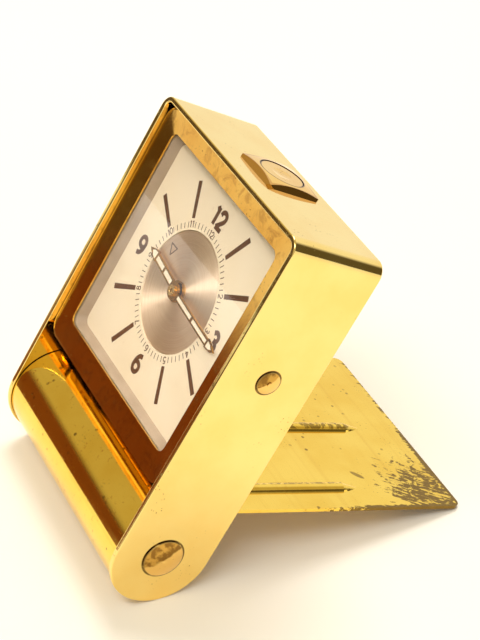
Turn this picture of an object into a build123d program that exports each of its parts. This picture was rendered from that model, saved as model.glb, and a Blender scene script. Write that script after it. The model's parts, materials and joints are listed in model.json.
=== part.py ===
"""Folding travel alarm clock: a gilt strap case, a square module and a lid that swings round as a stand.

Three working frames are used, all in millimetres.
  body frame:   x right, y up along the case, z forward, origin on the lid's hinge axis
  module frame: the body frame moved up to the centre of the dial
  lid frame:    x along the hinge axis, y along the plate, z out of the plate's outer face
The finished pieces stand as the clock stands in use, leaning back on its opened lid.
"""
import math
import os

from build123d import *

os.makedirs("parts", exist_ok=True)

# Case
width = 50.0
depth = 18.8
case_rise = 11.4
axis_to_top = width + case_rise
wall = 1.0
corner_radius = 2.5
edge_round = 0.25
nearly_parallel = 0.99
half_depth = depth / 2
end_radius = half_depth

# Unit of the stack from front to back
stack_steps = 94
level = depth / stack_steps

# Fits
slip = 0.1
run = 0.05
lid_side_gap = 0.2

# Lid
lid_rim_inset = 0.45
lid_offset = end_radius - lid_rim_inset
lid_thickness = 0.65
lid_end_gap = 0.2
lid_length = axis_to_top - wall - lid_end_gap
lid_corner = 1.6
lid_open_angle = 11.05
roll_end_angle = 40.0
lid_half_width = width / 2 - wall - lid_side_gap
rib_width = 2.7
rib_height = 0.9
rib_tip = 3.4
rib_start = 4.0
centre_rib_gap = 9.5
side_rib_gap = 20.2
rib_side_inset = 5.8
centre_rib_end = lid_length - centre_rib_gap
side_rib_end = lid_length - side_rib_gap
side_rib_x = lid_half_width - rib_side_inset
plug_inset = 0.5
plug_length = 1.6
stop_gap = 0.8

# Hinge studs and module pins
stud_radius = 1.8
stud_length = 4.6
stud_head_radius = 3.7
stud_head_height = 0.95
stud_head_wall = 0.2
washer_radius = 3.2
washer_thickness = 0.4
pin_radius = 1.0
pin_head_radius = 2.2
pin_head_height = 0.6
pin_head_wall = 0.15
pin_nib_radius = 0.5
pin_nib_rise = 0.12

# Stack from the front rim backwards
bezel_recess = 6 * level
bezel_dish = 2 * level
bezel_rim = 0.35
crystal_lip = 1.5 * level
crystal_thickness = 3.5 * level
dial_depth = 13.5 * level
dial_thickness = 2 * level
motion_space = 11.5 * level
plate_thickness = 5.5 * level
train_space = 20 * level
bridge_thickness = 5 * level
balance_space = 12 * level
cover_thickness = 3.5 * level
module_case_wall = 0.8
module_corner = 3.0

bezel_front = half_depth - bezel_recess
opening_front = bezel_front - bezel_dish
crystal_front = opening_front - crystal_lip
crystal_back = crystal_front - crystal_thickness
dial_front = opening_front - dial_depth
dial_back = dial_front - dial_thickness
plate_front = dial_back - motion_space
plate_back = plate_front - plate_thickness
bridge_front = plate_back - train_space
bridge_back = bridge_front - bridge_thickness
cover_front = bridge_back - balance_space
cover_back = cover_front - cover_thickness

# Module outline: its underside clears the opened lid's ribs
lid_tilt = math.radians(lid_open_angle)
rib_crest = (lid_offset + rib_height) / math.cos(lid_tilt)
module_bottom = rib_crest - cover_back * math.tan(lid_tilt) + stop_gap
module_top = axis_to_top - wall - slip
module_half_width = width / 2 - wall - slip
module_half_height = (module_top - module_bottom) / 2
dial_rise = 0.4
dial_height = (module_top + module_bottom) / 2 + dial_rise
inner_half_width = module_half_width - module_case_wall - slip
inner_half_height = module_half_height - module_case_wall - slip
inner_corner = module_corner - module_case_wall

# Bezel opening, glass and dial
bezel_face = 3.9
opening_half = module_half_width - bezel_face
opening_corner = 1.6
crystal_margin = 0.9
crystal_half = opening_half + crystal_margin
flange_inset = 0.9
ledge_inset = 0.2
ledge_half = opening_half - ledge_inset

# Unit of everything laid out round the dial's centre
plan_steps = 100
plan = opening_half / plan_steps

# Alarm disc
disc_radius = 53.25 * plan
disc_recess = 1.25 * level
disc_thickness = 0.9 * level
disc_gap = 0.5 * plan

# Hands
hand_thickness = 1.75 * level
hour_hand_lift = 1.25 * level
minute_hand_lift = 1.25 * level
hour_hand_length = 61 * plan
hour_hand_half_width = 3.75 * plan
hour_hub_radius = 9.5 * plan
hour_angle = 277.0
minute_hand_length = 86 * plan
minute_hand_half_width = 3.2 * plan
minute_hub_radius = 7.75 * plan
minute_angle = 93.6
hand_rail = 1.4 * plan
hand_tip_length = 14.5 * plan
hand_tip_flare = 1.35
hand_tip_cheek = 0.8
cheek_height = 0.4
window_cheek_height = 1 / 3
point_rail = 3 * hand_rail
fill_share = 0.8
cap_radius = 4.75 * plan
cap_bore = 2 * plan
cap_height = 2 * level

# Concentric pipes at the dial's centre
centre_arbor_radius = 2.5 * plan
pipe_wall = 1.75 * plan
cannon_bore = centre_arbor_radius + run
cannon_outer = cannon_bore + pipe_wall
hour_bore = cannon_outer + run
hour_outer = hour_bore + pipe_wall
alarm_bore = hour_outer + run
alarm_outer = alarm_bore + pipe_wall

# Gears: tooth counts and modules
tooth_share = 0.42
addendum = 0.8
dedendum = 1.1
pressure_slope = 0.364
saw_root_share = 1 / 9
gear_face = 2.5 * level
face_margin = 0.5 * level

motion_module = 1.5 * plan
cannon_teeth = 12
minute_wheel_teeth = 36
minute_pinion_teeth = 10
hour_teeth = 40
motion_distance = motion_module * (cannon_teeth + minute_wheel_teeth) / 2
hour_module = 2 * motion_distance / (minute_pinion_teeth + hour_teeth)

alarm_module = 1.5 * plan
alarm_teeth = 60
alarm_pinion_teeth = 20
alarm_distance = alarm_module * (alarm_teeth + alarm_pinion_teeth) / 2

barrel_module = 1.3 * plan
barrel_teeth = 80
centre_pinion_teeth = 10
barrel_distance = barrel_module * (barrel_teeth + centre_pinion_teeth) / 2

centre_module = plan
centre_teeth = 64
third_pinion_teeth = 8
third_distance = centre_module * (centre_teeth + third_pinion_teeth) / 2

third_module = plan
third_teeth = 60
fourth_pinion_teeth = 8
fourth_distance = third_module * (third_teeth + fourth_pinion_teeth) / 2

fourth_module = 0.75 * plan
fourth_teeth = 70
escape_pinion_teeth = 7
escape_distance = fourth_module * (fourth_teeth + escape_pinion_teeth) / 2

hammer_module = 1.3 * plan
alarm_barrel_teeth = 40
hammer_pinion_teeth = 8
hammer_distance = hammer_module * (alarm_barrel_teeth + hammer_pinion_teeth) / 2

# Directions from one arbor to the next, degrees anticlockwise from 3 o'clock, seen from the front
barrel_direction = 215.0
minute_direction = 120.0
alarm_direction = 155.0
third_direction = 60.0
fourth_direction = 0.0
escape_direction = -70.0
lever_direction = -60.0
hammer_direction = 10.0

# Arbors and barrels
arbor_radius = 2 * plan
pivot_radius = 1.5 * plan
barrel_height = 11 * level
barrel_wall = 3.5 * plan
barrel_arbor_radius = 6 * plan
spring_thickness = 1.5 * plan
spring_pitch = 3.75 * plan
spring_turns = 5
barrel_end_gap = level
pillar_radius = 7.5 * plan
cover_screw_inset = 13.5 * plan
post_x = inner_half_width - cover_screw_inset
post_up = inner_half_height - cover_screw_inset - dial_rise
post_down = inner_half_height - cover_screw_inset + dial_rise
pillar_side_step = 7.5 * plan
pillar_upper_step = 25 * plan
pillar_lower_step = 14.25 * plan
pillar_x = post_x - pillar_side_step
pillar_up = post_up - pillar_upper_step
pillar_down = post_down - pillar_lower_step
pillar_edge = 2.5 * plan
cover_post_radius = 6.5 * plan
thread_length = 10 * level
screw_radius = 4 * plan
screw_head_radius = 6.5 * plan
screw_head_height = 2.5 * level
screw_slot = 1.5 * plan

# Escapement
escape_radius = 15 * plan
escape_teeth = 15
escape_root = 11 * plan
lever_distance = 23 * plan
lever_gap = 1.5 * plan
lever_pallet_spread = 52.0
roller_radius = 5 * plan
balance_distance = 25 * plan
balance_radius = 24.5 * plan
balance_rim = 4 * plan
balance_thickness = 2 * level
hairspring_turns = 5
hairspring_pitch = 2.25 * plan
hairspring_thickness = 0.6 * plan
hairspring_height = level
cock_thickness = 2.5 * level
cock_width = 15 * plan
cock_foot_radius = 9 * plan
cock_reach = 37 * plan
regulator_length = 23 * plan
regulator_thickness = 1.5 * level
regulator_ring = 8.5 * plan
regulator_boss = 5 * plan
regulator_slot_half_width = 12 * plan
regulator_slot_half_height = 4.5 * plan

# Alarm work
alarm_barrel_x = 27.5 * plan
alarm_barrel_y = -77.5 * plan
hammer_wheel_radius = 12 * plan
hammer_wheel_root = 9 * plan
hammer_wheel_teeth = 12
hammer_x = 95 * plan
hammer_y = -57.5 * plan
hammer_arm_width = 5 * plan
hammer_head_x = 73 * plan
hammer_head_y = -97 * plan
hammer_head_radius = 6.5 * plan
hammer_tail_gap = 2 * plan
hammer_throw = 3 * plan
gong_drop = 2 * plan

# Winding keys, ratchets and setting knobs
ratchet_teeth = 24
ratchet_radius = 21 * plan
ratchet_depth = 2.5 * plan
ratchet_thickness = 2.5 * level
alarm_ratchet_radius = 17 * plan
click_length = 17 * plan
click_width = 5 * plan
click_eye_radius = 3.5 * plan
click_gap = 0.75 * plan
square_side = 8 * plan
key_hub_radius = 9.5 * plan
key_wing_length = 55 * plan
alarm_key_wing_length = 45 * plan
key_wing_thickness = 6 * plan
key_wing_round = 0.45 * key_wing_thickness
key_turn = 35.0
alarm_key_turn = -20.0
key_height = 11 * level
key_gap = 0.75 * level
knob_radius = 14 * plan
knob_height = 9.5 * level
knob_flutes = 18
knob_flute_radius = 1.5 * plan

# Alarm stop button on top of the case
boss_back = 1.2
boss_edge = 0.8
boss_corner_cut = 1.65
boss_radius = half_depth - boss_back - boss_edge
boss_square_half = boss_radius - boss_corner_cut
boss_facet_angle = 45.0
boss_dome_radius = 33.0
boss_height = 1.3
button_border = 1.75
button_radius = boss_square_half - button_border
button_gap = 0.12
button_sink = 0.12
button_press = 0.45
button_seat_gap = 0.05
button_lift = button_press + button_seat_gap
button_dish_radius = 16.0
button_stem_radius = 1.0
button_stem_length = 4.2
button_clip_radius = 1.9
button_clip_thickness = 0.4
wave_washer_inset = 0.8
wave_washer_radius = button_radius - wave_washer_inset
wave_washer_thickness = 0.4

# Standing pose: the round ends and the lid's free edge touch the floor
lid_inner_offset = lid_offset - lid_thickness
lid_reach = math.hypot(lid_length, lid_inner_offset)
lid_slope = math.degrees(math.asin(end_radius / lid_reach) + math.atan2(lid_inner_offset, lid_length))
lean = lid_slope + lid_open_angle
slope = math.radians(lid_slope)
back_reach = lid_length * math.cos(slope) + lid_offset * math.sin(slope)
middle_y = (back_reach - end_radius) / 2
axis_point = (0, -middle_y, end_radius)
stand_body = Location(axis_point, (90 - lean, 0, 0))
stand_module = stand_body * Pos(0, dial_height, 0)
stand_lid = Location(axis_point, (-lid_slope, 0, 0))

low_end = (Align.CENTER, Align.CENTER, Align.MIN)


def polar(distance, direction, start=(0, 0)):
    """Point at a distance and direction from a start point."""
    angle = math.radians(direction)
    return (start[0] + distance * math.cos(angle), start[1] + distance * math.sin(angle))


barrel_at = polar(barrel_distance, barrel_direction)
minute_at = polar(motion_distance, minute_direction)
alarm_set_at = polar(alarm_distance, alarm_direction)
third_at = polar(third_distance, third_direction)
fourth_at = polar(fourth_distance, fourth_direction, third_at)
escape_at = polar(escape_distance, escape_direction, fourth_at)
lever_at = polar(lever_distance, lever_direction, escape_at)
balance_at = polar(balance_distance, lever_direction, lever_at)
alarm_barrel_at = (alarm_barrel_x, alarm_barrel_y)
hammer_wheel_at = polar(hammer_distance, hammer_direction, alarm_barrel_at)
hammer_at = (hammer_x, hammer_y)
pillar_points = [(x, y) for x in (-pillar_x, pillar_x) for y in (-pillar_down, pillar_up)]
post_points = [(x, y) for x in (-post_x, post_x) for y in (-post_down, post_up)]


def disc(radius, low, high, at=(0, 0)):
    """Solid cylinder along z between two levels."""
    return Pos(at[0], at[1], low) * Cylinder(radius, high - low, align=low_end)


def ring(outer, inner, low, high, at=(0, 0)):
    """Tube along z between two levels."""
    return disc(outer, low, high, at) - disc(inner, low, high, at)


def slab(half_width, half_height, corner, low, high, middle=(0, 0)):
    """Rounded rectangular slab between two levels."""
    outline = RectangleRounded(2 * half_width, 2 * half_height, corner)
    return Pos(middle[0], middle[1], low) * extrude(outline, amount=high - low)


def bar(start, end, bar_width, low, high):
    """Straight bar with square ends between two points."""
    length = math.hypot(end[0] - start[0], end[1] - start[1])
    turn = math.degrees(math.atan2(end[1] - start[1], end[0] - start[0]))
    middle = ((start[0] + end[0]) / 2, (start[1] + end[1]) / 2, low)
    return Pos(*middle) * Rot(0, 0, turn) * Box(length, bar_width, high - low, align=low_end)


def gear(teeth, module, low, high, at=(0, 0), tooth_at=0.0):
    """Spur gear with straight-flanked teeth, one of them pointing in the direction tooth_at."""
    pitch_radius = module * teeth / 2
    tip_radius = pitch_radius + addendum * module
    root_radius = pitch_radius - dedendum * module
    half = tooth_share * math.pi / teeth
    tip_half = half - addendum * module * pressure_slope / pitch_radius
    root_half = half + dedendum * module * pressure_slope / pitch_radius
    left = ((root_radius, -root_half), (tip_radius, -tip_half))
    right = ((tip_radius, tip_half), (root_radius, root_half))
    points = []
    for tooth in range(teeth):
        middle = math.radians(tooth_at) + 2 * math.pi * tooth / teeth
        points += [(r * math.cos(middle + a), r * math.sin(middle + a)) for r, a in left + right]
    return Pos(at[0], at[1], low) * extrude(Polygon(*points, align=None), amount=high - low)


def saw_wheel(teeth, tip_radius, root_radius, low, high, at=(0, 0), tooth_at=0.0):
    """Wheel with pointed one-way teeth, as on an escape wheel or a ratchet."""
    points = []
    for tooth in range(teeth):
        angle = tooth_at + 360 * tooth / teeth
        root_angle = angle + 360 * saw_root_share / teeth
        points += [polar(tip_radius, angle), polar(root_radius, root_angle)]
    return Pos(at[0], at[1], low) * extrude(Polygon(*points, align=None), amount=high - low)


def gap_facing(direction, teeth):
    """Tooth direction that leaves a gap facing back along a direction."""
    return direction + 180 + 180 / teeth


def driven(teeth, module, levels, at, direction):
    """Gear between two levels whose gap takes the tooth of the gear that lies back along a direction."""
    return gear(teeth, module, *levels, at, gap_facing(direction, teeth))


def overlapping(low, high):
    """Levels of a pinion that stands a little past both faces of the wheel it meshes with."""
    return (low - face_margin, high + face_margin)


def spiral_strip(inner_radius, pitch, turns, thickness, low, high, at=(0, 0)):
    """Flat spring wound as a spiral of half circles."""
    radius = inner_radius
    centre = 0.0
    side = 1
    outer, inner = [], []
    for half_turn in range(2 * turns):
        start = centre + side * radius
        next_radius = radius + pitch / 2
        centre = start - side * next_radius
        radius = next_radius
        arc_start = 0 if side > 0 else 180
        outer.append(CenterArc((centre, 0), radius + thickness / 2, arc_start, 180))
        inner.append(CenterArc((centre, 0), radius - thickness / 2, arc_start, 180))
        side = -side
    ends = [Line(inner[0] @ 0, outer[0] @ 0), Line(inner[-1] @ 1, outer[-1] @ 1)]
    strip = make_face(outer + inner + ends)
    return Pos(at[0], at[1], low) * extrude(strip, amount=high - low)


def screw(at, length, seat):
    """Slotted cheese-head screw seated at a level, its head pointing back."""
    head = disc(screw_head_radius, 0, screw_head_height)
    slot = Pos(0, 0, screw_head_height) * Box(3 * screw_head_radius, screw_slot, screw_head_height)
    shank = disc(screw_radius, -length, 0)
    return Pos(at[0], at[1], seat) * Rot(180, 0, 0) * (head - slot + shank)


# Case shell and its pins
def rim_edges(strap):
    """Edges of the strap's rims, without the seams where its flat and round faces run into each other."""
    rims = []
    for edge in strap.edges():
        run_of_edge = edge % 0.5
        along_depth = abs(run_of_edge.Z) > nearly_parallel
        across_wall = abs(run_of_edge.X) > nearly_parallel and edge.length < 2 * wall
        if not along_depth and not across_wall:
            rims.append(edge)
    return rims


def case_shell():
    """Strap folded over the top and down both sides, with round lower ends."""
    span = axis_to_top + end_radius
    outer = Pos(0, axis_to_top - span / 2) * Rectangle(width, span)
    outer = fillet(outer.vertices().sort_by(Axis.Y)[-2:], corner_radius)
    inner_top = axis_to_top - wall
    inner = Pos(0, inner_top - span / 2) * Rectangle(width - 2 * wall, span)
    inner = fillet(inner.vertices().sort_by(Axis.Y)[-2:], corner_radius - wall)
    strap = extrude(outer - inner, amount=half_depth, both=True)
    flank = Plane.YZ * (Pos(axis_to_top / 2, 0) * Rectangle(axis_to_top, depth) + Circle(end_radius))
    strap = strap & extrude(flank, amount=width, both=True)
    strap = fillet(rim_edges(strap), edge_round)
    stud_holes = Rot(0, 90, 0) * Cylinder(stud_radius, 2 * width)
    pin_holes = Pos(0, dial_height, 0) * Rot(0, 90, 0) * Cylinder(pin_radius, 2 * width)
    stem_hole = Rot(90, 0, 0) * Cylinder(button_stem_radius + run, 4 * wall)
    stem_hole = Pos(0, axis_to_top, -boss_back) * stem_hole
    return strap - stud_holes - pin_holes - stem_hole


def on_both_sides(piece):
    """A piece built along +x on the right side, with its mirror image on the left."""
    return Compound(children=[piece, mirror(piece, about=Plane.YZ)])


def domed_head(radius, height, wall_height):
    """Round head whose wall carries a spherical dome."""
    rise = height - wall_height
    dome_radius = (radius ** 2 + rise ** 2) / (2 * rise)
    return disc(radius, 0, height) & Pos(0, 0, height - dome_radius) * Sphere(dome_radius)


def hinge_studs():
    """Round studs that carry the lid, with domed heads outside the case."""
    head = domed_head(stud_head_radius, stud_head_height, stud_head_wall)
    stud = head + disc(stud_radius, -stud_length, 0)
    return on_both_sides(Pos(width / 2, 0, 0) * Rot(0, 90, 0) * stud)


def hinge_washers():
    """Spring washers that hold the lid by friction."""
    washer = ring(washer_radius, stud_radius, -washer_thickness, 0)
    return on_both_sides(Pos(width / 2 - wall, 0, 0) * Rot(0, 90, 0) * washer)


def module_pins():
    """Small domed pins with a nib that hold the clock module between the sides of the case."""
    head = domed_head(pin_head_radius, pin_head_height, pin_head_wall)
    nib = disc(pin_nib_radius, 0, pin_head_height + pin_nib_rise)
    shank = disc(pin_radius, -wall - slip - module_case_wall, 0)
    pin = head + nib + shank
    return on_both_sides(Pos(width / 2, 0, 0) * Rot(0, 90, 0) * pin)


# Lid
def rib(x, end):
    """Rounded rib with pencil-pointed ends, cut from a spindle sunk in the lid's outer face."""
    crown = ((rib_width / 2) ** 2 + rib_height ** 2) / (2 * rib_height)
    shoulders = (rib_start + rib_tip, end - rib_tip)
    point = rib_tip * crown / rib_height
    outline = [(0, shoulders[0] - point), (crown, shoulders[0]), (crown, shoulders[1]), (0, shoulders[1] + point)]
    spindle = revolve(Polygon(*outline, align=None), Axis.Y)
    root = lid_thickness / 2
    above = Box(rib_width, end - rib_start, rib_height + root, align=(Align.CENTER, Align.MIN, Align.MIN))
    return Pos(x, 0, lid_offset - crown + rib_height) * spindle & Pos(x, rib_start, lid_offset - root) * above


def lid():
    """Plate rolled at its lower end into a barrel round the hinge axis, with three ribs."""
    far = 3 * lid_offset
    mouth = [(0, 0), polar(far, roll_end_angle), (far, far), (0, far)]
    roll = Circle(lid_offset) - Circle(lid_inner_offset) - Polygon(*mouth, align=None)
    plate_middle = (lid_length / 2, lid_offset - lid_thickness / 2)
    profile = roll + Pos(*plate_middle) * Rectangle(lid_length, lid_thickness)
    shape = extrude(Plane.YZ * profile, amount=lid_half_width, both=True)
    corners = shape.edges().filter_by(Axis.Z).sort_by(Axis.Y)[-2:]
    shape = fillet(corners, lid_corner)
    shape += rib(0, centre_rib_end)
    for x in (-side_rib_x, side_rib_x):
        shape += rib(x, side_rib_end)
    return shape


def lid_end_plugs():
    """Discs pressed into the barrel's ends, bored for the studs."""
    plug = ring(lid_inner_offset, stud_radius + run, -plug_length, 0)
    return on_both_sides(Pos(lid_half_width - plug_inset, 0, 0) * Rot(0, 90, 0) * plug)


# Alarm stop button
def on_top(piece):
    """Place a piece built along +z on the case's top face."""
    return Pos(0, axis_to_top, -boss_back) * Rot(-90, 0, 0) * piece


def boss_dome():
    """Sphere that gives the boss its shallow crown."""
    return Pos(0, 0, boss_height - boss_dome_radius) * Sphere(boss_dome_radius)


def button_boss():
    """Low round boss with four slanted facets and a bore for the button."""
    square = Rectangle(2 * boss_square_half, 2 * boss_square_half)
    faceted = extrude(square, amount=2 * boss_height, taper=boss_facet_angle)
    boss = disc(boss_radius, 0, 2 * boss_height) & faceted & boss_dome()
    return on_top(boss - disc(button_radius + button_gap, -boss_height, 2 * boss_height))


def stop_button():
    """Dished push button on a stem that reaches into the module."""
    crown = boss_height - button_radius ** 2 / (2 * boss_dome_radius) - button_sink
    cap = disc(button_radius, button_lift, crown)
    dish = Pos(0, 0, crown - button_sink + button_dish_radius) * Sphere(button_dish_radius)
    stem = disc(button_stem_radius, -button_stem_length, button_lift)
    return on_top(cap - dish + stem)


def clip_level():
    """Height of the retaining clip's upper face, just under the module's top wall."""
    return -(wall + slip + module_case_wall + slip)


def button_clip():
    """Ring on the stem that keeps the button from lifting out."""
    high = clip_level()
    return on_top(ring(button_clip_radius, button_stem_radius, high - button_clip_thickness, high))


def button_spring():
    """Flat ring spring under the button's cap."""
    return on_top(ring(wave_washer_radius, button_stem_radius + 2 * slip, 0, wave_washer_thickness))


# Module case, bezel, glass and dial
module_middle = (0, -dial_rise)


def module_case():
    """Square box without front or back, with an inner ledge between dial and movement."""
    halves = (module_half_width, module_half_height)
    box = slab(*halves, module_corner, cover_back, crystal_back, module_middle)
    hollow = (inner_half_width + slip, inner_half_height + slip)
    front_hollow = slab(*hollow, inner_corner, dial_back, crystal_back, module_middle)
    back_hollow = slab(*hollow, inner_corner, cover_back, plate_front, module_middle)
    window = slab(ledge_half, ledge_half, opening_corner, plate_front, dial_back)
    pin_holes = Rot(0, 90, 0) * Cylinder(pin_radius, 2 * width)
    stem_hole = Pos(0, axis_to_top - dial_height, -boss_back) * Rot(90, 0, 0)
    stem_hole = stem_hole * Cylinder(button_stem_radius + slip, 6 * wall)
    return box - front_hollow - back_hollow - window - pin_holes - stem_hole


def bezel():
    """Square frame whose face slopes in towards the glass."""
    halves = (module_half_width, module_half_height)
    frame = slab(*halves, module_corner, crystal_back, bezel_front, module_middle)
    spans = [2 * (half - bezel_rim) for half in halves]
    outer = RectangleRounded(*spans, module_corner - bezel_rim)
    inner = RectangleRounded(2 * opening_half, 2 * opening_half, opening_corner)
    dish = loft([Pos(*module_middle, bezel_front) * outer, Pos(0, 0, opening_front) * inner], ruled=True)
    opening = slab(opening_half, opening_half, opening_corner, crystal_back, bezel_front)
    seat = slab(crystal_half, crystal_half, opening_corner, crystal_back, crystal_front)
    return frame - dish - opening - seat


def crystal():
    """Flat square glass held behind the bezel's lip."""
    half = crystal_half - slip
    return slab(half, half, opening_corner, crystal_back, crystal_front)


def dial_flange():
    """Sloped inner frame between glass and dial."""
    frame = slab(inner_half_width, inner_half_height, inner_corner, dial_front, crystal_back, module_middle)
    low_half = opening_half - flange_inset
    high = Pos(0, 0, crystal_back) * RectangleRounded(2 * opening_half, 2 * opening_half, opening_corner)
    low = Pos(0, 0, dial_front) * RectangleRounded(2 * low_half, 2 * low_half, opening_corner)
    return frame - loft([low, high], ruled=True)


def dial():
    """Square dial plate, open in the middle for the alarm disc."""
    plate = slab(inner_half_width, inner_half_height, inner_corner, dial_back, dial_front, module_middle)
    return plate - disc(disc_radius + disc_gap, dial_back, dial_front)


def regulator_slot():
    """Opening in the back cover over the regulator's tail."""
    middle = polar(regulator_length, 90, balance_at)
    halves = (regulator_slot_half_width, regulator_slot_half_height)
    return slab(*halves, regulator_slot_half_height / 2, cover_back, cover_front, middle)


def back_cover():
    """Flat cover set in the back of the module, bored for keys, knobs and screws."""
    cover = slab(inner_half_width, inner_half_height, inner_corner, cover_back, cover_front, module_middle)
    for point in (barrel_at, alarm_barrel_at):
        cover -= disc(barrel_arbor_radius + slip, cover_back, cover_front, point)
    for point in (minute_at, alarm_set_at):
        cover -= disc(arbor_radius + slip, cover_back, cover_front, point)
    for point in post_points:
        cover -= disc(screw_radius, cover_back, cover_front, point)
    return cover - regulator_slot()


def cover_posts():
    """Threaded posts on the main plate that take the cover's screws."""
    posts = []
    for point in post_points:
        post = disc(cover_post_radius, cover_front, plate_back, point)
        posts.append(post - disc(screw_radius, cover_front, plate_back, point))
    return Compound(children=posts)


def cover_screws():
    """Screws that hold the back cover."""
    length = cover_thickness + thread_length
    return Compound(children=[screw(point, length, cover_back) for point in post_points])


# Dial-side work: alarm disc, hands and motion work
alarm_wheel_high = dial_back - face_margin
alarm_wheel_low = alarm_wheel_high - gear_face
hour_wheel_high = alarm_wheel_low - face_margin
hour_wheel_low = hour_wheel_high - gear_face
minute_wheel_high = hour_wheel_low - 2 * face_margin
minute_wheel_low = minute_wheel_high - gear_face
hour_hand_low = dial_front + hour_hand_lift
hour_hand_high = hour_hand_low + hand_thickness
minute_hand_low = hour_hand_high + minute_hand_lift
minute_hand_high = minute_hand_low + hand_thickness


def alarm_disc():
    """Round disc in the middle of the dial that carries the alarm mark."""
    high = dial_front - disc_recess
    return ring(disc_radius, alarm_outer, high - disc_thickness, high)


def alarm_wheel():
    """Toothed wheel behind the dial on the pipe that carries the alarm disc."""
    wheel = gear(alarm_teeth, alarm_module, alarm_wheel_low, alarm_wheel_high, tooth_at=alarm_direction)
    pipe = disc(alarm_outer, alarm_wheel_low, dial_front)
    return wheel + pipe - disc(alarm_bore, alarm_wheel_low, dial_front)


def hand_outline(length, half_width, hub_radius):
    """Flat hand pointing to 12: a bar with a flared bullet tip and a round hub."""
    shoulder = length - hand_tip_length
    flare = half_width * hand_tip_flare
    cheek = (flare * hand_tip_cheek, shoulder + hand_tip_length * cheek_height)
    tip = [(-flare, shoulder), (flare, shoulder), cheek, (0, length), (-cheek[0], cheek[1])]
    shaft = Pos(0, shoulder / 2) * Rectangle(2 * half_width, shoulder)
    return shaft + Polygon(*tip, align=None) + Circle(hub_radius)


def hand_windows(length, half_width, hub_radius):
    """Openings in a hand that hold the pale fill: two along the bar and one in the tip."""
    shoulder = length - hand_tip_length
    start = hub_radius + hand_rail
    room = (shoulder - start - hand_rail) / 2
    window_width = 2 * (half_width - hand_rail)
    windows = []
    for index in range(2):
        middle = start + room / 2 + index * (room + hand_rail)
        windows.append(Pos(0, middle) * Rectangle(window_width, room - hand_rail))
    flare = half_width * hand_tip_flare - hand_rail
    low = shoulder + hand_rail
    peak = length - point_rail
    cheek = (flare * hand_tip_cheek, low + hand_tip_length * window_cheek_height)
    tip = [(-flare, low), (flare, low), cheek, (0, peak), (-cheek[0], cheek[1])]
    windows.append(Polygon(*tip, align=None))
    return windows


def hand_fill(length, half_width, hub_radius, angle, low):
    """Pale inlays that fill the windows of a hand."""
    fills = [
        Rot(0, 0, -angle) * Pos(0, 0, low) * extrude(window, amount=fill_share * hand_thickness)
        for window in hand_windows(length, half_width, hub_radius)
    ]
    return Compound(children=fills)


def hand(length, half_width, hub_radius, bore, angle, low):
    """Skeleton hand with its windows and a bored hub, turned clockwise from 12."""
    face = hand_outline(length, half_width, hub_radius)
    for window in hand_windows(length, half_width, hub_radius):
        face -= window
    face -= Circle(bore)
    return Rot(0, 0, -angle) * Pos(0, 0, low) * extrude(face, amount=hand_thickness)


def hour_hand():
    """Hour hand pressed on the hour pipe."""
    sizes = (hour_hand_length, hour_hand_half_width, hour_hub_radius)
    return hand(*sizes, hour_outer, hour_angle, hour_hand_low)


def hour_fill():
    """Inlays of the hour hand."""
    sizes = (hour_hand_length, hour_hand_half_width, hour_hub_radius)
    return hand_fill(*sizes, hour_angle, hour_hand_low)


def minute_hand():
    """Minute hand pressed on the cannon pipe."""
    sizes = (minute_hand_length, minute_hand_half_width, minute_hub_radius)
    return hand(*sizes, cannon_outer, minute_angle, minute_hand_low)


def minute_fill():
    """Inlays of the minute hand."""
    sizes = (minute_hand_length, minute_hand_half_width, minute_hub_radius)
    return hand_fill(*sizes, minute_angle, minute_hand_low)


def hand_cap():
    """Small ring nut that closes the hands' hub."""
    cap = ring(cap_radius, cap_bore, minute_hand_high, minute_hand_high + cap_height)
    return fillet(cap.edges().sort_by(Axis.Z)[-1], cap_height / 3)


def cannon_pinion():
    """Pinion and pipe that slip on the centre arbor and carry the minute hand."""
    low = minute_wheel_low - face_margin
    high = minute_wheel_high + face_margin
    pinion = gear(cannon_teeth, motion_module, low, high, tooth_at=minute_direction)
    pipe = disc(cannon_outer, low, minute_hand_high)
    return pinion + pipe - disc(cannon_bore, low, minute_hand_high)


def hour_wheel():
    """Wheel and pipe that carry the hour hand."""
    wheel = gear(hour_teeth, hour_module, hour_wheel_low, hour_wheel_high, tooth_at=minute_direction)
    pipe = disc(hour_outer, hour_wheel_low, hour_hand_high)
    return wheel + pipe - disc(hour_bore, hour_wheel_low, hour_hand_high)


def minute_wheel():
    """Wheel and pinion on the long setting arbor that runs to the back."""
    wheel_levels = (minute_wheel_low, minute_wheel_high)
    wheel = driven(minute_wheel_teeth, motion_module, wheel_levels, minute_at, minute_direction)
    pinion_levels = (minute_wheel_high, hour_wheel_high + face_margin)
    pinion = driven(minute_pinion_teeth, hour_module, pinion_levels, minute_at, minute_direction)
    return wheel + pinion + disc(arbor_radius, knob_low(), minute_wheel_high, minute_at)


def alarm_set_pinion():
    """Pinion that turns the alarm disc, on a long arbor that runs to the back."""
    levels = (alarm_wheel_low - face_margin, alarm_wheel_high)
    pinion = driven(alarm_pinion_teeth, alarm_module, levels, alarm_set_at, alarm_direction)
    return pinion + disc(arbor_radius, knob_low(), alarm_wheel_high, alarm_set_at)


def knob_low():
    """Level of the setting knobs' outer ends."""
    return cover_back - key_gap - knob_height


def setting_knob(at):
    """Fluted round knob on a setting arbor."""
    high = cover_back - key_gap
    knob = disc(knob_radius, knob_low(), high, at)
    for flute in range(knob_flutes):
        groove = polar(knob_radius, 360 * flute / knob_flutes, at)
        knob -= disc(knob_flute_radius, knob_low(), high, groove)
    return knob - disc(arbor_radius, knob_low(), high, at)


def hand_set_knob():
    """Knob that sets the hands."""
    return setting_knob(minute_at)


def alarm_set_knob():
    """Knob that sets the alarm."""
    return setting_knob(alarm_set_at)


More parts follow.
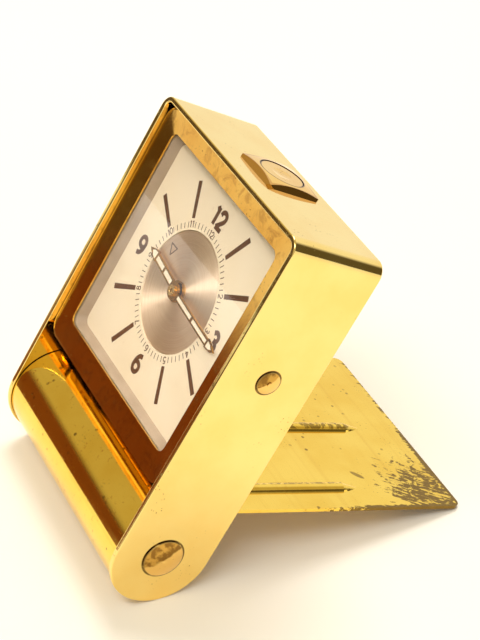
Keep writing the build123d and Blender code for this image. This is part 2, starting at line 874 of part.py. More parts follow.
# Movement plates
def movement_outline(low, high):
    """Plate outline shared by both movement plates."""
    margin = pillar_radius + pillar_edge
    half_height = (pillar_up + pillar_down) / 2 + margin
    middle = (0, (pillar_up - pillar_down) / 2)
    return slab(pillar_x + margin, half_height, module_corner, low, high, middle)


def train_arbors():
    """Arbors whose pivots run in both plates."""
    return [third_at, fourth_at, escape_at, lever_at, hammer_wheel_at, hammer_at]


def main_plate():
    """Front plate of the movement, seated behind the ledge of the module case."""
    plate = slab(inner_half_width, inner_half_height, inner_corner, plate_back, plate_front, module_middle)
    plate -= disc(centre_arbor_radius + run, plate_back, plate_front)
    for point in train_arbors() + [balance_at]:
        plate -= disc(pivot_radius + run, plate_back, plate_front, point)
    for point in (minute_at, alarm_set_at):
        plate -= disc(arbor_radius + run, plate_back, plate_front, point)
    for point in (barrel_at, alarm_barrel_at):
        plate -= disc(barrel_arbor_radius + run, plate_back, plate_front, point)
    return plate


def back_plate():
    """Rear plate of the movement on four pillars."""
    plate = movement_outline(bridge_back, bridge_front)
    plate -= disc(centre_arbor_radius + run, bridge_back, bridge_front)
    for point in train_arbors():
        plate -= disc(pivot_radius + run, bridge_back, bridge_front, point)
    for point in (minute_at, alarm_set_at):
        plate -= disc(arbor_radius + run, bridge_back, bridge_front, point)
    for point in (barrel_at, alarm_barrel_at):
        plate -= disc(barrel_arbor_radius + run, bridge_back, bridge_front, point)
    for point in pillar_points:
        plate -= disc(screw_radius, bridge_back, bridge_front, point)
    for point in post_points:
        plate -= disc(cover_post_radius + slip, bridge_back, bridge_front, point)
    return plate - disc(roller_radius + slip, bridge_back, bridge_front, balance_at)


def plate_pillars():
    """Pillars that hold the two plates apart."""
    pillars = []
    for point in pillar_points:
        pillar = disc(pillar_radius, bridge_front, plate_back, point)
        pillars.append(pillar - disc(screw_radius, bridge_front, bridge_front + thread_length, point))
    return Compound(children=pillars)


def plate_screws():
    """Screws that hold the rear plate on its pillars."""
    length = bridge_thickness + thread_length
    return Compound(children=[screw(point, length, bridge_back) for point in pillar_points])


# Going train
barrel_high = plate_back - barrel_end_gap
barrel_low = barrel_high - barrel_height
centre_wheel_high = barrel_low - 3 * face_margin
centre_wheel_low = centre_wheel_high - gear_face
third_wheel_high = plate_back - 3 * face_margin
third_wheel_low = third_wheel_high - gear_face
fourth_wheel_low = barrel_low + face_margin
fourth_wheel_high = fourth_wheel_low + gear_face
barrel_teeth_high = barrel_low + gear_face + face_margin


def train_arbor(at):
    """Plain arbor with thinner pivots that run in the two plates."""
    body = disc(arbor_radius, bridge_front + face_margin, plate_back - face_margin, at)
    return body + disc(pivot_radius, bridge_back, plate_front, at)


def hollow_drum(teeth, module, at, tooth_at):
    """Barrel drum with a toothed lower edge, closed at both ends and bored for its arbor."""
    outer = module * (teeth / 2 - dedendum) - 2 * face_margin
    rim = gear(teeth, module, barrel_low, barrel_teeth_high, at, tooth_at)
    drum = disc(outer, barrel_low, barrel_high, at) + rim
    chamber = disc(outer - barrel_wall, barrel_low + gear_face, barrel_high - gear_face / 2, at)
    return drum - chamber - disc(barrel_arbor_radius + run, barrel_low, barrel_high, at)


def drum_spring(teeth, module, at):
    """Coiled mainspring that fills part of a drum."""
    room = module * (teeth / 2 - dedendum) - 2 * face_margin - barrel_wall - slip
    turns = min(spring_turns, int((room - barrel_arbor_radius) / spring_pitch) - 1)
    low = barrel_low + gear_face + face_margin
    high = barrel_high - gear_face / 2 - face_margin
    start = room - spring_thickness / 2 - turns * spring_pitch
    return spiral_strip(start, spring_pitch, turns, spring_thickness, low, high, at)


def going_barrel():
    """Drum of the mainspring that drives the hands."""
    return hollow_drum(barrel_teeth, barrel_module, barrel_at, gap_facing(barrel_direction, barrel_teeth))


def mainspring():
    """Mainspring of the going side."""
    return drum_spring(barrel_teeth, barrel_module, barrel_at)


def centre_wheel():
    """Centre wheel and pinion on the arbor that runs through the dial."""
    wheel = gear(centre_teeth, centre_module, centre_wheel_low, centre_wheel_high, tooth_at=third_direction)
    pinion = gear(centre_pinion_teeth, barrel_module, centre_wheel_high, barrel_teeth_high + face_margin,
                  tooth_at=barrel_direction)
    return wheel + pinion + disc(centre_arbor_radius, bridge_back, minute_hand_low)


def third_wheel():
    """Third wheel and pinion."""
    wheel = gear(third_teeth, third_module, third_wheel_low, third_wheel_high, third_at, fourth_direction)
    levels = overlapping(centre_wheel_low, centre_wheel_high)
    pinion = driven(third_pinion_teeth, centre_module, levels, third_at, third_direction)
    return wheel + pinion + train_arbor(third_at)


def fourth_wheel():
    """Fourth wheel and pinion."""
    wheel_levels = (fourth_wheel_low, fourth_wheel_high)
    wheel = gear(fourth_teeth, fourth_module, *wheel_levels, fourth_at, escape_direction)
    levels = overlapping(third_wheel_low, third_wheel_high)
    pinion = driven(fourth_pinion_teeth, third_module, levels, fourth_at, fourth_direction)
    return wheel + pinion + train_arbor(fourth_at)


def escape_wheel():
    """Escape wheel and pinion."""
    wheel_levels = (third_wheel_low, third_wheel_high)
    wheel = saw_wheel(escape_teeth, escape_radius, escape_root, *wheel_levels, escape_at)
    levels = overlapping(fourth_wheel_low, fourth_wheel_high)
    pinion = driven(escape_pinion_teeth, fourth_module, levels, escape_at, escape_direction)
    return wheel + pinion + train_arbor(escape_at)


def pallet_lever():
    """Anchor whose two pallets reach down beside the escape wheel, with a fork towards the balance."""
    low, high = third_wheel_low, third_wheel_high
    pallet_radius = escape_radius + lever_gap + gear_face / 2
    shape = disc(2 * arbor_radius, low, high, lever_at)
    toward = lever_direction
    for side in (-1, 1):
        pallet = polar(pallet_radius, toward + side * lever_pallet_spread, escape_at)
        shape += bar(lever_at, pallet, gear_face, low, high)
    fork_end = polar(balance_distance - roller_radius - 2 * slip, toward, lever_at)
    shape += bar(lever_at, fork_end, gear_face, low, high)
    return shape + train_arbor(lever_at)


# Balance
balance_high = bridge_back - 5 * face_margin
balance_low = balance_high - balance_thickness
hairspring_high = balance_low - face_margin
hairspring_low = hairspring_high - hairspring_height
cock_high = hairspring_low - 2 * face_margin
cock_low = cock_high - cock_thickness


def balance_wheel():
    """Balance rim, crossed arms, staff and roller."""
    rim = ring(balance_radius, balance_radius - balance_rim, balance_low, balance_high, balance_at)
    arms = Part()
    for turn in (0, 90):
        start = polar(balance_radius - balance_rim / 2, turn, balance_at)
        end = polar(balance_radius - balance_rim / 2, turn + 180, balance_at)
        arms += bar(start, end, balance_rim, balance_low, balance_high)
    staff = disc(arbor_radius, cock_high + face_margin, plate_back - face_margin, balance_at)
    pivots = disc(pivot_radius, cock_low, plate_front, balance_at)
    roller = disc(roller_radius, third_wheel_low, third_wheel_high, balance_at)
    return rim + arms + staff + pivots + roller


def hairspring_outer():
    """Radius of the outermost turn of the hairspring."""
    return arbor_radius + 3 * slip + hairspring_turns * hairspring_pitch


def hairspring():
    """Fine flat spiral round the balance staff, held by a stud under the cock."""
    start = arbor_radius + 3 * slip
    coil = spiral_strip(start, hairspring_pitch, hairspring_turns, hairspring_thickness,
                        hairspring_low, hairspring_high, balance_at)
    stud_point = (balance_at[0] + hairspring_outer(), balance_at[1])
    return coil + disc(2 * slip, cock_high, hairspring_high, stud_point)


def balance_cock():
    """Bridge over the balance on a foot screwed to the rear plate."""
    foot_at = polar(cock_reach, 90, balance_at)
    foot = disc(cock_foot_radius, cock_low, bridge_back, foot_at)
    arm = bar(foot_at, balance_at, cock_width, cock_low, cock_high)
    end = disc(hairspring_outer() + 2 * slip, cock_low, cock_high, balance_at)
    boss = disc(regulator_boss, cock_low - regulator_thickness - face_margin, cock_low, balance_at)
    return foot + arm + end + boss - disc(pivot_radius + run, cock_low, cock_high, balance_at)


def regulator():
    """Lever on the cock that trims the rate, reached through the back cover."""
    high = cock_low - face_margin / 2
    low = high - regulator_thickness
    tail = bar(balance_at, polar(regulator_length, 90, balance_at), 2 * arbor_radius, low, high)
    knob = disc(arbor_radius, cover_back, high, polar(regulator_length, 90, balance_at))
    body = disc(regulator_ring, low, high, balance_at) + tail
    return body - disc(regulator_boss + run, low, high, balance_at) + knob


# Winding work and alarm work
def winding_arbor(at):
    """Thick arbor of a mainspring barrel, with a squared end outside the cover."""
    arbor = disc(barrel_arbor_radius, cover_back, plate_front, at)
    square = Box(square_side, square_side, cover_back - knob_low(), align=low_end)
    return arbor + Pos(at[0], at[1], knob_low()) * square


def ratchet(radius, at):
    """Ratchet wheel on a winding arbor behind the rear plate."""
    high = bridge_back - 2 * face_margin
    wheel = saw_wheel(ratchet_teeth, radius, radius - ratchet_depth, high - ratchet_thickness, high, at)
    return wheel - disc(barrel_arbor_radius, high - ratchet_thickness, high, at)


def click_pivot(radius, at):
    """Place of a ratchet's click."""
    return polar(radius + click_gap + click_width, 90 if at[0] < 0 else 180, at)


def click(radius, at):
    """Pawl beside a ratchet wheel on a pin set in the rear plate."""
    high = bridge_back - 2 * face_margin
    low = high - ratchet_thickness
    pivot = click_pivot(radius, at)
    tail = polar(click_length, 180 if at[0] < 0 else 90, pivot)
    arm = bar(pivot, tail, click_width, low, high) + disc(click_eye_radius, low, high, pivot)
    return arm - disc(pivot_radius + run, low, high, pivot)


def click_pins():
    """Shouldered pins that carry the clicks."""
    pins = []
    for radius, at in ((ratchet_radius, barrel_at), (alarm_ratchet_radius, alarm_barrel_at)):
        pivot = click_pivot(radius, at)
        pins.append(disc(pivot_radius, bridge_back - 2 * ratchet_thickness, bridge_back, pivot))
    return Compound(children=pins)


def winding_key(at, wing_length, turn):
    """Key with a round hub and a flat wing, on a squared arbor."""
    high = cover_back - key_gap
    low = high - key_height
    outline = RectangleRounded(wing_length, key_wing_thickness, key_wing_round)
    wing = Pos(at[0], at[1], low) * Rot(0, 0, turn) * extrude(outline, amount=key_height)
    key = disc(key_hub_radius, low, high, at) + wing
    socket = Pos(at[0], at[1], knob_low()) * Box(square_side, square_side, key_height, align=low_end)
    return key - socket


def alarm_barrel():
    """Drum of the mainspring that drives the hammer."""
    return hollow_drum(alarm_barrel_teeth, hammer_module, alarm_barrel_at, hammer_direction)


def alarm_mainspring():
    """Mainspring of the alarm side."""
    return drum_spring(alarm_barrel_teeth, hammer_module, alarm_barrel_at)


def hammer_wheel():
    """Pointed wheel that works the hammer, with its pinion."""
    wheel_levels = (centre_wheel_low, centre_wheel_high)
    radii = (hammer_wheel_radius, hammer_wheel_root)
    wheel = saw_wheel(hammer_wheel_teeth, *radii, *wheel_levels, hammer_wheel_at)
    levels = overlapping(barrel_low, barrel_teeth_high)
    pinion = driven(hammer_pinion_teeth, hammer_module, levels, hammer_wheel_at, hammer_direction)
    return wheel + pinion + train_arbor(hammer_wheel_at)


def hammer():
    """Swinging arm with a tail beside its wheel and a round head that beats against the gong post."""
    low, high = centre_wheel_low, centre_wheel_high
    head_at = (hammer_head_x, hammer_head_y)
    arm = bar(hammer_at, head_at, hammer_arm_width, low, high)
    head = disc(hammer_head_radius, low, third_wheel_low, head_at)
    away = math.degrees(math.atan2(hammer_at[1] - hammer_wheel_at[1], hammer_at[0] - hammer_wheel_at[0]))
    tail_end = polar(hammer_wheel_radius + hammer_tail_gap, away, hammer_wheel_at)
    tail = bar(hammer_at, tail_end, hammer_arm_width, low, high)
    return arm + tail + head + disc(2 * arbor_radius, low, high, hammer_at) + train_arbor(hammer_at)


def gong_post():
    """Ringing post fixed between the plates in front of the hammer's head."""
    reach = 2 * hammer_head_radius + hammer_throw
    post_at = (hammer_head_x - reach, hammer_head_y - gong_drop)
    return disc(hammer_head_radius, bridge_front, plate_back, post_at)


body_pieces = {
    "case_shell": case_shell(),
    "hinge_studs": hinge_studs(),
    "hinge_washers": hinge_washers(),
    "button_boss": button_boss(),
    "stop_button": stop_button(),
    "button_clip": button_clip(),
    "button_spring": button_spring(),
}
module_pieces = {
    "module_pins": module_pins(),
    "module_case": module_case(),
    "bezel": bezel(),
    "crystal": crystal(),
    "dial_flange": dial_flange(),
    "dial": dial(),
    "back_cover": back_cover(),
    "cover_posts": cover_posts(),
    "cover_screws": cover_screws(),
    "alarm_disc": alarm_disc(),
    "alarm_wheel": alarm_wheel(),
    "hour_hand": hour_hand(),
    "hour_fill": hour_fill(),
    "minute_hand": minute_hand(),
    "minute_fill": minute_fill(),
    "hand_cap": hand_cap(),
    "cannon_pinion": cannon_pinion(),
    "hour_wheel": hour_wheel(),
    "minute_wheel": minute_wheel(),
    "hand_set_knob": hand_set_knob(),
    "alarm_set_pinion": alarm_set_pinion(),
    "alarm_set_knob": alarm_set_knob(),
    "main_plate": main_plate(),
    "back_plate": back_plate(),
    "plate_pillars": plate_pillars(),
    "plate_screws": plate_screws(),
    "going_barrel": going_barrel(),
    "mainspring": mainspring(),
    "barrel_arbor": winding_arbor(barrel_at),
    "ratchet_wheel": ratchet(ratchet_radius, barrel_at),
    "ratchet_click": click(ratchet_radius, barrel_at),
    "click_pins": click_pins(),
    "winding_key": winding_key(barrel_at, key_wing_length, key_turn),
    "centre_wheel": centre_wheel(),
    "third_wheel": third_wheel(),
    "fourth_wheel": fourth_wheel(),
    "escape_wheel": escape_wheel(),
    "pallet_lever": pallet_lever(),
    "balance_wheel": balance_wheel(),
    "hairspring": hairspring(),
    "balance_cock": balance_cock(),
    "regulator": regulator(),
    "alarm_barrel": alarm_barrel(),
    "alarm_mainspring": alarm_mainspring(),
    "alarm_arbor": winding_arbor(alarm_barrel_at),
    "alarm_ratchet": ratchet(alarm_ratchet_radius, alarm_barrel_at),
    "alarm_click": click(alarm_ratchet_radius, alarm_barrel_at),
    "alarm_key": winding_key(alarm_barrel_at, alarm_key_wing_length, alarm_key_turn),
    "hammer_wheel": hammer_wheel(),
    "hammer": hammer(),
    "gong_post": gong_post(),
}
lid_pieces = {
    "lid": lid(),
    "lid_end_plugs": lid_end_plugs(),
}

groups = ((stand_body, body_pieces), (stand_module, module_pieces), (stand_lid, lid_pieces))
for placement, pieces in groups:
    for name, piece in pieces.items():
        export_step(placement * piece, f"parts/{name}.step")
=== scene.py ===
import json
import math

import bmesh
import bpy
from mathutils import Matrix, Vector


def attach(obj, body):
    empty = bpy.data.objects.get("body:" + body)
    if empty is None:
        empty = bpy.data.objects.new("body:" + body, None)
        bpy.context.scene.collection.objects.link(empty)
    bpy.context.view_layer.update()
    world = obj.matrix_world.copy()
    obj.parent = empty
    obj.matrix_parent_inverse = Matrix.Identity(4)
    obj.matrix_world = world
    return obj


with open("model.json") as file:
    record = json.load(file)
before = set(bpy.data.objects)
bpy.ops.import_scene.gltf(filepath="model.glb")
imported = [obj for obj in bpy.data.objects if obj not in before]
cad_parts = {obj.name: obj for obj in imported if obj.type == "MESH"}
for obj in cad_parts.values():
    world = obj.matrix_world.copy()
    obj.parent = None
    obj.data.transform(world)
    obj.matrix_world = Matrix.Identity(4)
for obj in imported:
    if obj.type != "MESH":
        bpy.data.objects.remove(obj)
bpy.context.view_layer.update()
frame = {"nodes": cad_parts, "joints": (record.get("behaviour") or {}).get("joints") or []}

scene = bpy.context.scene
nodes = frame["nodes"]
joints = {joint["name"]: joint for joint in frame["joints"]}
MM = 0.001
UP = Vector((0, 0, 1))
MIDDLE = Vector((0, 0, 0))
MIX_FACTOR, MIX_FIRST, MIX_SECOND, MIX_RESULT = 0, 6, 7, 2


def linear(red, green, blue):
    """Display colour, 0 to 255, as linear light."""
    out = []
    for value in (red, green, blue):
        share = value / 255
        out.append(share / 12.92 if share <= 0.04045 else ((share + 0.055) / 1.055) ** 2.4)
    return (*out, 1.0)


# Directions and places of the clock, from its joints and nodes
LID_FACE_RISE = 0.8
dial_origin = Vector(joints["minute_hand_turn"]["pos_m"])
forward = Vector(joints["minute_hand_turn"]["axis"]).normalized()
right = Vector((1, 0, 0))
upward = forward.cross(right).normalized()
hinge_point = Vector(joints["lid_hinge"]["pos_m"])
lid_faces = [face for face in nodes["lid"].data.polygons if face.normal.z > LID_FACE_RISE]
lid_out = max(lid_faces, key=lambda face: face.area).normal.copy()
lid_along = lid_out.cross(right).normalized()
button_points = [vertex.co for vertex in nodes["stop_button"].data.vertices]
button_middle = sum(button_points, Vector()) / len(button_points)
CASE_AXES = (right, upward, forward)
DIAGONAL_AXES = (right + upward, right - upward, forward)
LID_AXES = (right, lid_along, lid_out)


def front_level(node):
    """Forward level of a node's front face above the dial's origin."""
    return max((vertex.co - dial_origin).dot(forward) for vertex in nodes[node].data.vertices)


dial_level = front_level("dial")
disc_level = front_level("alarm_disc")


# Camera
CAMERA_AT = Vector((0.237714, -0.127780, 0.230015))
CAMERA_AIM = Vector((-0.005491, 0.001900, 0.030933))
CAMERA_ROLL = math.radians(4.4523)
CAMERA_LENS = 107.736
CAMERA_NEAR = 0.01
SENSOR = 36.0


def aimed(at, aim):
    """Matrix at a point that looks towards another."""
    look = (Vector(aim) - Vector(at)).to_track_quat("-Z", "Y").to_matrix().to_4x4()
    return Matrix.Translation(at) @ look


def make_camera():
    data = bpy.data.cameras.new("camera")
    camera = bpy.data.objects.new("camera", data)
    scene.collection.objects.link(camera)
    data.lens = CAMERA_LENS
    data.sensor_width = SENSOR
    data.sensor_height = SENSOR
    data.sensor_fit = "AUTO"
    data.clip_start = CAMERA_NEAR
    camera.matrix_world = aimed(CAMERA_AT, CAMERA_AIM) @ Matrix.Rotation(CAMERA_ROLL, 4, "Z")
    scene.camera = camera


class Tree:
    """Builds one material's node tree, and keeps its colour, roughness and height so far."""

    def __init__(self, name):
        self.material = bpy.data.materials.new(name)
        self.material.use_nodes = True
        self.nodes = self.material.node_tree.nodes
        self.links = self.material.node_tree.links
        self.shader = self.nodes["Principled BSDF"]
        self.place = self.nodes.new("ShaderNodeTexCoord").outputs["Object"]
        self.colour = None
        self.rough = None
        self.height = None

    def feed(self, socket, value):
        if isinstance(value, bpy.types.NodeSocket):
            self.links.new(value, socket)
        else:
            socket.default_value = value

    def set(self, **values):
        for name, value in values.items():
            self.feed(self.shader.inputs[name.replace("_", " ")], value)

    def node(self, kind, **inputs):
        node = self.nodes.new(kind)
        for name, value in inputs.items():
            self.feed(node.inputs[name], value)
        return node

    def math(self, operation, first, second=0.0):
        node = self.nodes.new("ShaderNodeMath")
        node.operation = operation
        self.feed(node.inputs[0], first)
        self.feed(node.inputs[1], second)
        return node.outputs[0]

    def plus(self, first, second):
        return self.math("ADD", first, second)

    def times(self, first, second):
        return self.math("MULTIPLY", first, second)

    def most(self, first, second):
        return self.math("MAXIMUM", first, second)

    def size(self, value):
        return self.math("ABSOLUTE", value)

    def vector(self, operation, first, second=(0, 0, 0)):
        node = self.nodes.new("ShaderNodeVectorMath")
        node.operation = operation
        self.feed(node.inputs[0], first)
        self.feed(node.inputs[1], second)
        return node.outputs["Value" if operation in ("DOT_PRODUCT", "LENGTH") else "Vector"]

    def dot(self, direction):
        return self.vector("DOT_PRODUCT", self.place, tuple(direction))

    def spoke(self, centre):
        return self.vector("SUBTRACT", self.place, tuple(centre))

    def along(self, direction, origin):
        """Distance of a point along a direction from an origin."""
        return self.math("SUBTRACT", self.dot(direction), direction.dot(origin))

    def radius_about(self, centre):
        """Distance from an axis that runs from side to side through a point."""
        return self.vector("LENGTH", self.vector("MULTIPLY", self.spoke(centre), (0, 1, 1)))

    def stretched(self, values, stretch):
        """Point whose coordinates are three values, each multiplied."""
        node = self.nodes.new("ShaderNodeCombineXYZ")
        for socket, value, factor in zip(node.inputs, values, stretch):
            self.links.new(self.times(value, factor), socket)
        return node.outputs[0]

    def noise(self, scale, detail, roughness=0.55, place=None, distortion=0.0):
        node = self.node("ShaderNodeTexNoise", Scale=scale, Detail=detail, Roughness=roughness,
                         Distortion=distortion)
        self.links.new(place or self.place, node.inputs["Vector"])
        return node.outputs["Fac"]

    def grain(self, axes, stretch, detail, distortion=0.0):
        """Noise along three directions, each stretched."""
        place = self.stretched([self.dot(axis) for axis in axes], stretch)
        return self.noise(1.0, detail, place=place, distortion=distortion)

    def cells(self, scale):
        node = self.node("ShaderNodeTexVoronoi", Scale=scale)
        self.links.new(self.place, node.inputs["Vector"])
        return node.outputs["Distance"]

    def ramp(self, value, low, high, start=0.0, end=1.0):
        node = self.nodes.new("ShaderNodeMapRange")
        node.interpolation_type = "SMOOTHSTEP"
        self.feed(node.inputs["Value"], value)
        for name, number in (("From Min", low), ("From Max", high), ("To Min", start), ("To Max", end)):
            self.feed(node.inputs[name], number)
        return node.outputs["Result"]

    def band(self, value, low, high, soft):
        """One between two levels, and nothing beyond their soft edges."""
        return self.times(self.ramp(value, low - soft, low), self.ramp(value, high + soft, high))

    def spots(self, scale, edge, field, field_range):
        """Round spots that show only where a broad noise is strong."""
        return self.times(self.ramp(self.cells(scale), *edge), self.ramp(self.noise(*field), *field_range))

    def mix(self, factor, first, second):
        node = self.nodes.new("ShaderNodeMix")
        node.data_type = "RGBA"
        self.feed(node.inputs[MIX_FACTOR], factor)
        self.feed(node.inputs[MIX_FIRST], first)
        self.feed(node.inputs[MIX_SECOND], second)
        return node.outputs[MIX_RESULT]

    def stain(self, mask, amount, tint):
        """Lays a tint over the colour so far."""
        self.colour = self.mix(self.times(mask, amount), self.colour, tint)

    def bump(self, height, strength, distance):
        node = self.node("ShaderNodeBump", Height=height, Strength=strength, Distance=distance)
        self.feed(self.shader.inputs["Normal"], node.outputs["Normal"])

    def surface(self, factor, first, second):
        """Ends the tree in a mix of two shaders."""
        blend = self.nodes.new("ShaderNodeMixShader")
        for socket, value in zip(blend.inputs, (factor, first, second)):
            self.links.new(value, socket)
        self.links.new(blend.outputs[0], self.nodes["Material Output"].inputs["Surface"])


# In all the looks below, a noise is a scale, a detail and at times a roughness. A range is where a mask
# starts and where it is full, and at times its two end values. Spots are a scale, a range, a broad noise
# and its range.

# Floor
FLOOR_HALF = 3.0
FLOOR_CORNERS = ((-1, -1), (1, -1), (1, 1), (-1, 1))
FLOOR_TONES = (linear(251, 247, 240), linear(254, 251, 246))
FLOOR_CLOUD = (7.0, 2.0)
FLOOR_ROUGHNESS = 0.75
FLOOR_SPECULAR = 0.15
GLOW_COLOUR = linear(255, 252, 246)
GLOW_STRENGTH = 1.0
GLOW_NEAR = 0.04
GLOW_FAR = 0.95
GLOW_REACH = (0.12, 0.6)


def make_floor():
    """Large pale sheet under the clock, whiter with distance."""
    mesh = bpy.data.meshes.new("floor")
    mesh.from_pydata([(x * FLOOR_HALF, y * FLOOR_HALF, 0) for x, y in FLOOR_CORNERS], [], [(0, 1, 2, 3)])
    floor = bpy.data.objects.new("floor", mesh)
    scene.collection.objects.link(floor)
    tree = Tree("floor_paper")
    tree.set(Base_Color=tree.mix(tree.noise(*FLOOR_CLOUD), *FLOOR_TONES), Roughness=FLOOR_ROUGHNESS,
             Specular_IOR_Level=FLOOR_SPECULAR)
    rays = tree.nodes.new("ShaderNodeLightPath").outputs
    seen = tree.most(rays["Is Camera Ray"], rays["Is Glossy Ray"])
    seen = tree.most(seen, rays["Is Transmission Ray"])
    glow = tree.node("ShaderNodeEmission", Color=GLOW_COLOUR, Strength=GLOW_STRENGTH)
    far = tree.ramp(tree.vector("LENGTH", tree.place), *GLOW_REACH, GLOW_NEAR, GLOW_FAR)
    tree.surface(tree.times(seen, far), tree.shader.outputs[0], glow.outputs[0])
    mesh.materials.append(tree.material)


# Card that the bezel reflects, solid up to a share of its length and height
CARD_MIDDLE = Vector((-0.055, -0.086, 0.0))
CARD_ALONG = Vector((-0.70, 0.71, 0.0)).normalized()
CARD_HALF_LENGTH = 0.05
CARD_HEIGHT = 0.052
CARD_SOLID_LENGTH = 0.3
CARD_SOLID_HEIGHT = 0.6
CARD_TONES = (linear(112, 60, 24), linear(130, 72, 30))
CARD_GRAIN = (60.0, 3.0)
CARD_ROUGHNESS = 0.9


def make_card():
    """Low brown card with soft edges at the front left, hidden from the camera."""
    low = CARD_MIDDLE - CARD_ALONG * CARD_HALF_LENGTH
    high = CARD_MIDDLE + CARD_ALONG * CARD_HALF_LENGTH
    rise = UP * CARD_HEIGHT
    mesh = bpy.data.meshes.new("card")
    mesh.from_pydata([low, high, high + rise, low + rise], [], [(0, 1, 2, 3)])
    card = bpy.data.objects.new("card", mesh)
    scene.collection.objects.link(card)
    card.visible_camera = False
    card.visible_diffuse = False
    card.visible_shadow = False
    tree = Tree("card_paper")
    reach = tree.size(tree.along(CARD_ALONG, CARD_MIDDLE))
    ends = tree.ramp(reach, CARD_HALF_LENGTH, CARD_SOLID_LENGTH * CARD_HALF_LENGTH)
    top = tree.ramp(tree.along(UP, CARD_MIDDLE), CARD_HEIGHT, CARD_SOLID_HEIGHT * CARD_HEIGHT)
    tree.set(Base_Color=tree.mix(tree.noise(*CARD_GRAIN), *CARD_TONES), Roughness=CARD_ROUGHNESS,
             Alpha=tree.times(ends, top))
    mesh.materials.append(tree.material)


# Room: for each part a colour, a direction, and the angles from it where the part starts and is full
ROOM_LOW = (0.11, 0.075, 0.045, 1.0)
ROOM_HIGH = (0.56, 0.47, 0.28, 1.0)
ROOM_ANGLES = (82, 62)
WALL = (0.62, 0.56, 0.45, 1.0)
WALL_TOWARDS = Vector((0.95, 0.1, 0.25)).normalized()
WALL_ANGLES = (62, 34)
DOORWAY = (0.11, 0.09, 0.05, 1.0)
DOORWAY_TOWARDS = Vector((0.32, 0.94, 0.2)).normalized()
DOORWAY_ANGLES = (38, 26)
LINTEL_ANGLES = (65, 60)
BACKDROP = (1.0, 0.97, 0.92, 1.0)
BACKDROP_TOWARDS = Vector((-0.66, 0.74, 0.08)).normalized()
BACKDROP_ANGLES = (56, 36)
ROOM_STRENGTH = 1.0


def make_world():
    """Dim room that lightens overhead, with a wall, a dark doorway and a pale backdrop."""
    world = bpy.data.worlds.new("studio")
    scene.world = world
    world.use_nodes = True
    tree = world.node_tree
    place = tree.nodes.new("ShaderNodeTexCoord").outputs["Generated"]

    def lobe(towards, angles):
        dot = tree.nodes.new("ShaderNodeVectorMath")
        dot.operation = "DOT_PRODUCT"
        tree.links.new(place, dot.inputs[0])
        dot.inputs[1].default_value = towards
        reach = tree.nodes.new("ShaderNodeMapRange")
        reach.interpolation_type = "SMOOTHSTEP"
        tree.links.new(dot.outputs["Value"], reach.inputs["Value"])
        for name, angle in zip(("From Min", "From Max"), angles):
            reach.inputs[name].default_value = math.cos(math.radians(angle))
        return reach.outputs["Result"]

    def blend(factor, first, second):
        mix = tree.nodes.new("ShaderNodeMix")
        mix.data_type = "RGBA"
        tree.links.new(factor, mix.inputs[MIX_FACTOR])
        for index, value in ((MIX_FIRST, first), (MIX_SECOND, second)):
            if isinstance(value, bpy.types.NodeSocket):
                tree.links.new(value, mix.inputs[index])
            else:
                mix.inputs[index].default_value = value
        return mix.outputs[MIX_RESULT]

    room = blend(lobe(UP, ROOM_ANGLES), ROOM_LOW, ROOM_HIGH)
    room = blend(lobe(WALL_TOWARDS, WALL_ANGLES), room, WALL)
    shaded = blend(lobe(DOORWAY_TOWARDS, DOORWAY_ANGLES), room, DOORWAY)
    room = blend(lobe(UP, LINTEL_ANGLES), shaded, room)
    sky = blend(lobe(BACKDROP_TOWARDS, BACKDROP_ANGLES), room, BACKDROP)
    background = tree.nodes["Background"]
    tree.links.new(sky, background.inputs["Color"])
    background.inputs["Strength"].default_value = ROOM_STRENGTH


# Lamps: place, width and height, power and colour
LAMP_AIM = (0, 0, 0.03)
KEY_LAMP = ((0.42, -0.72, 1.42), (1.1, 0.4), 11.3, (1.0, 0.975, 0.93))
SIDE_LAMP = ((-0.5, 0.3, 1.25), (0.6, 0.6), 9.0, (1.0, 0.98, 0.95))


def make_lamp(name, at, size, power, colour):
    """Soft lamp of a width and a height, its width level."""
    data = bpy.data.lights.new(name, "AREA")
    data.shape = "RECTANGLE"
    data.size, data.size_y = size
    data.energy = power
    data.color = colour
    lamp = bpy.data.objects.new(name, data)
    scene.collection.objects.link(lamp)
    lamp.matrix_world = aimed(at, LAMP_AIM)


# Gilt: cloudy tone, hairlines two ways, pits and smears
TONE = (95.0, 4.0)
TONE_RANGE = (0.3, 0.75)
LINE_DETAIL = 2.0
HAIRLINE_STRETCH = (260, 4200, 4200)
HAIRLINE_RANGE = (0.66, 0.72)
CROSSLINE_STRETCH = (190, 3600, 3600)
CROSSLINE_RANGE = (0.68, 0.74)
LINE_ROUGHNESS = 0.10
LINE_DEPTH = 0.4
PITS = (1500.0, (0.24, 0.12), (180.0, 2.0), (0.56, 0.72))
PIT_TINT = linear(96, 62, 20)
PIT_AMOUNT = 0.75
PIT_ROUGHNESS = 0.35
SMEAR = (240.0, 5.0, 0.65)
SMEAR_RANGE = (0.35, 0.8)
SMEAR_ROUGHNESS = 0.05
METAL_BUMP = 0.10
METAL_BUMP_DISTANCE = 0.05 * MM


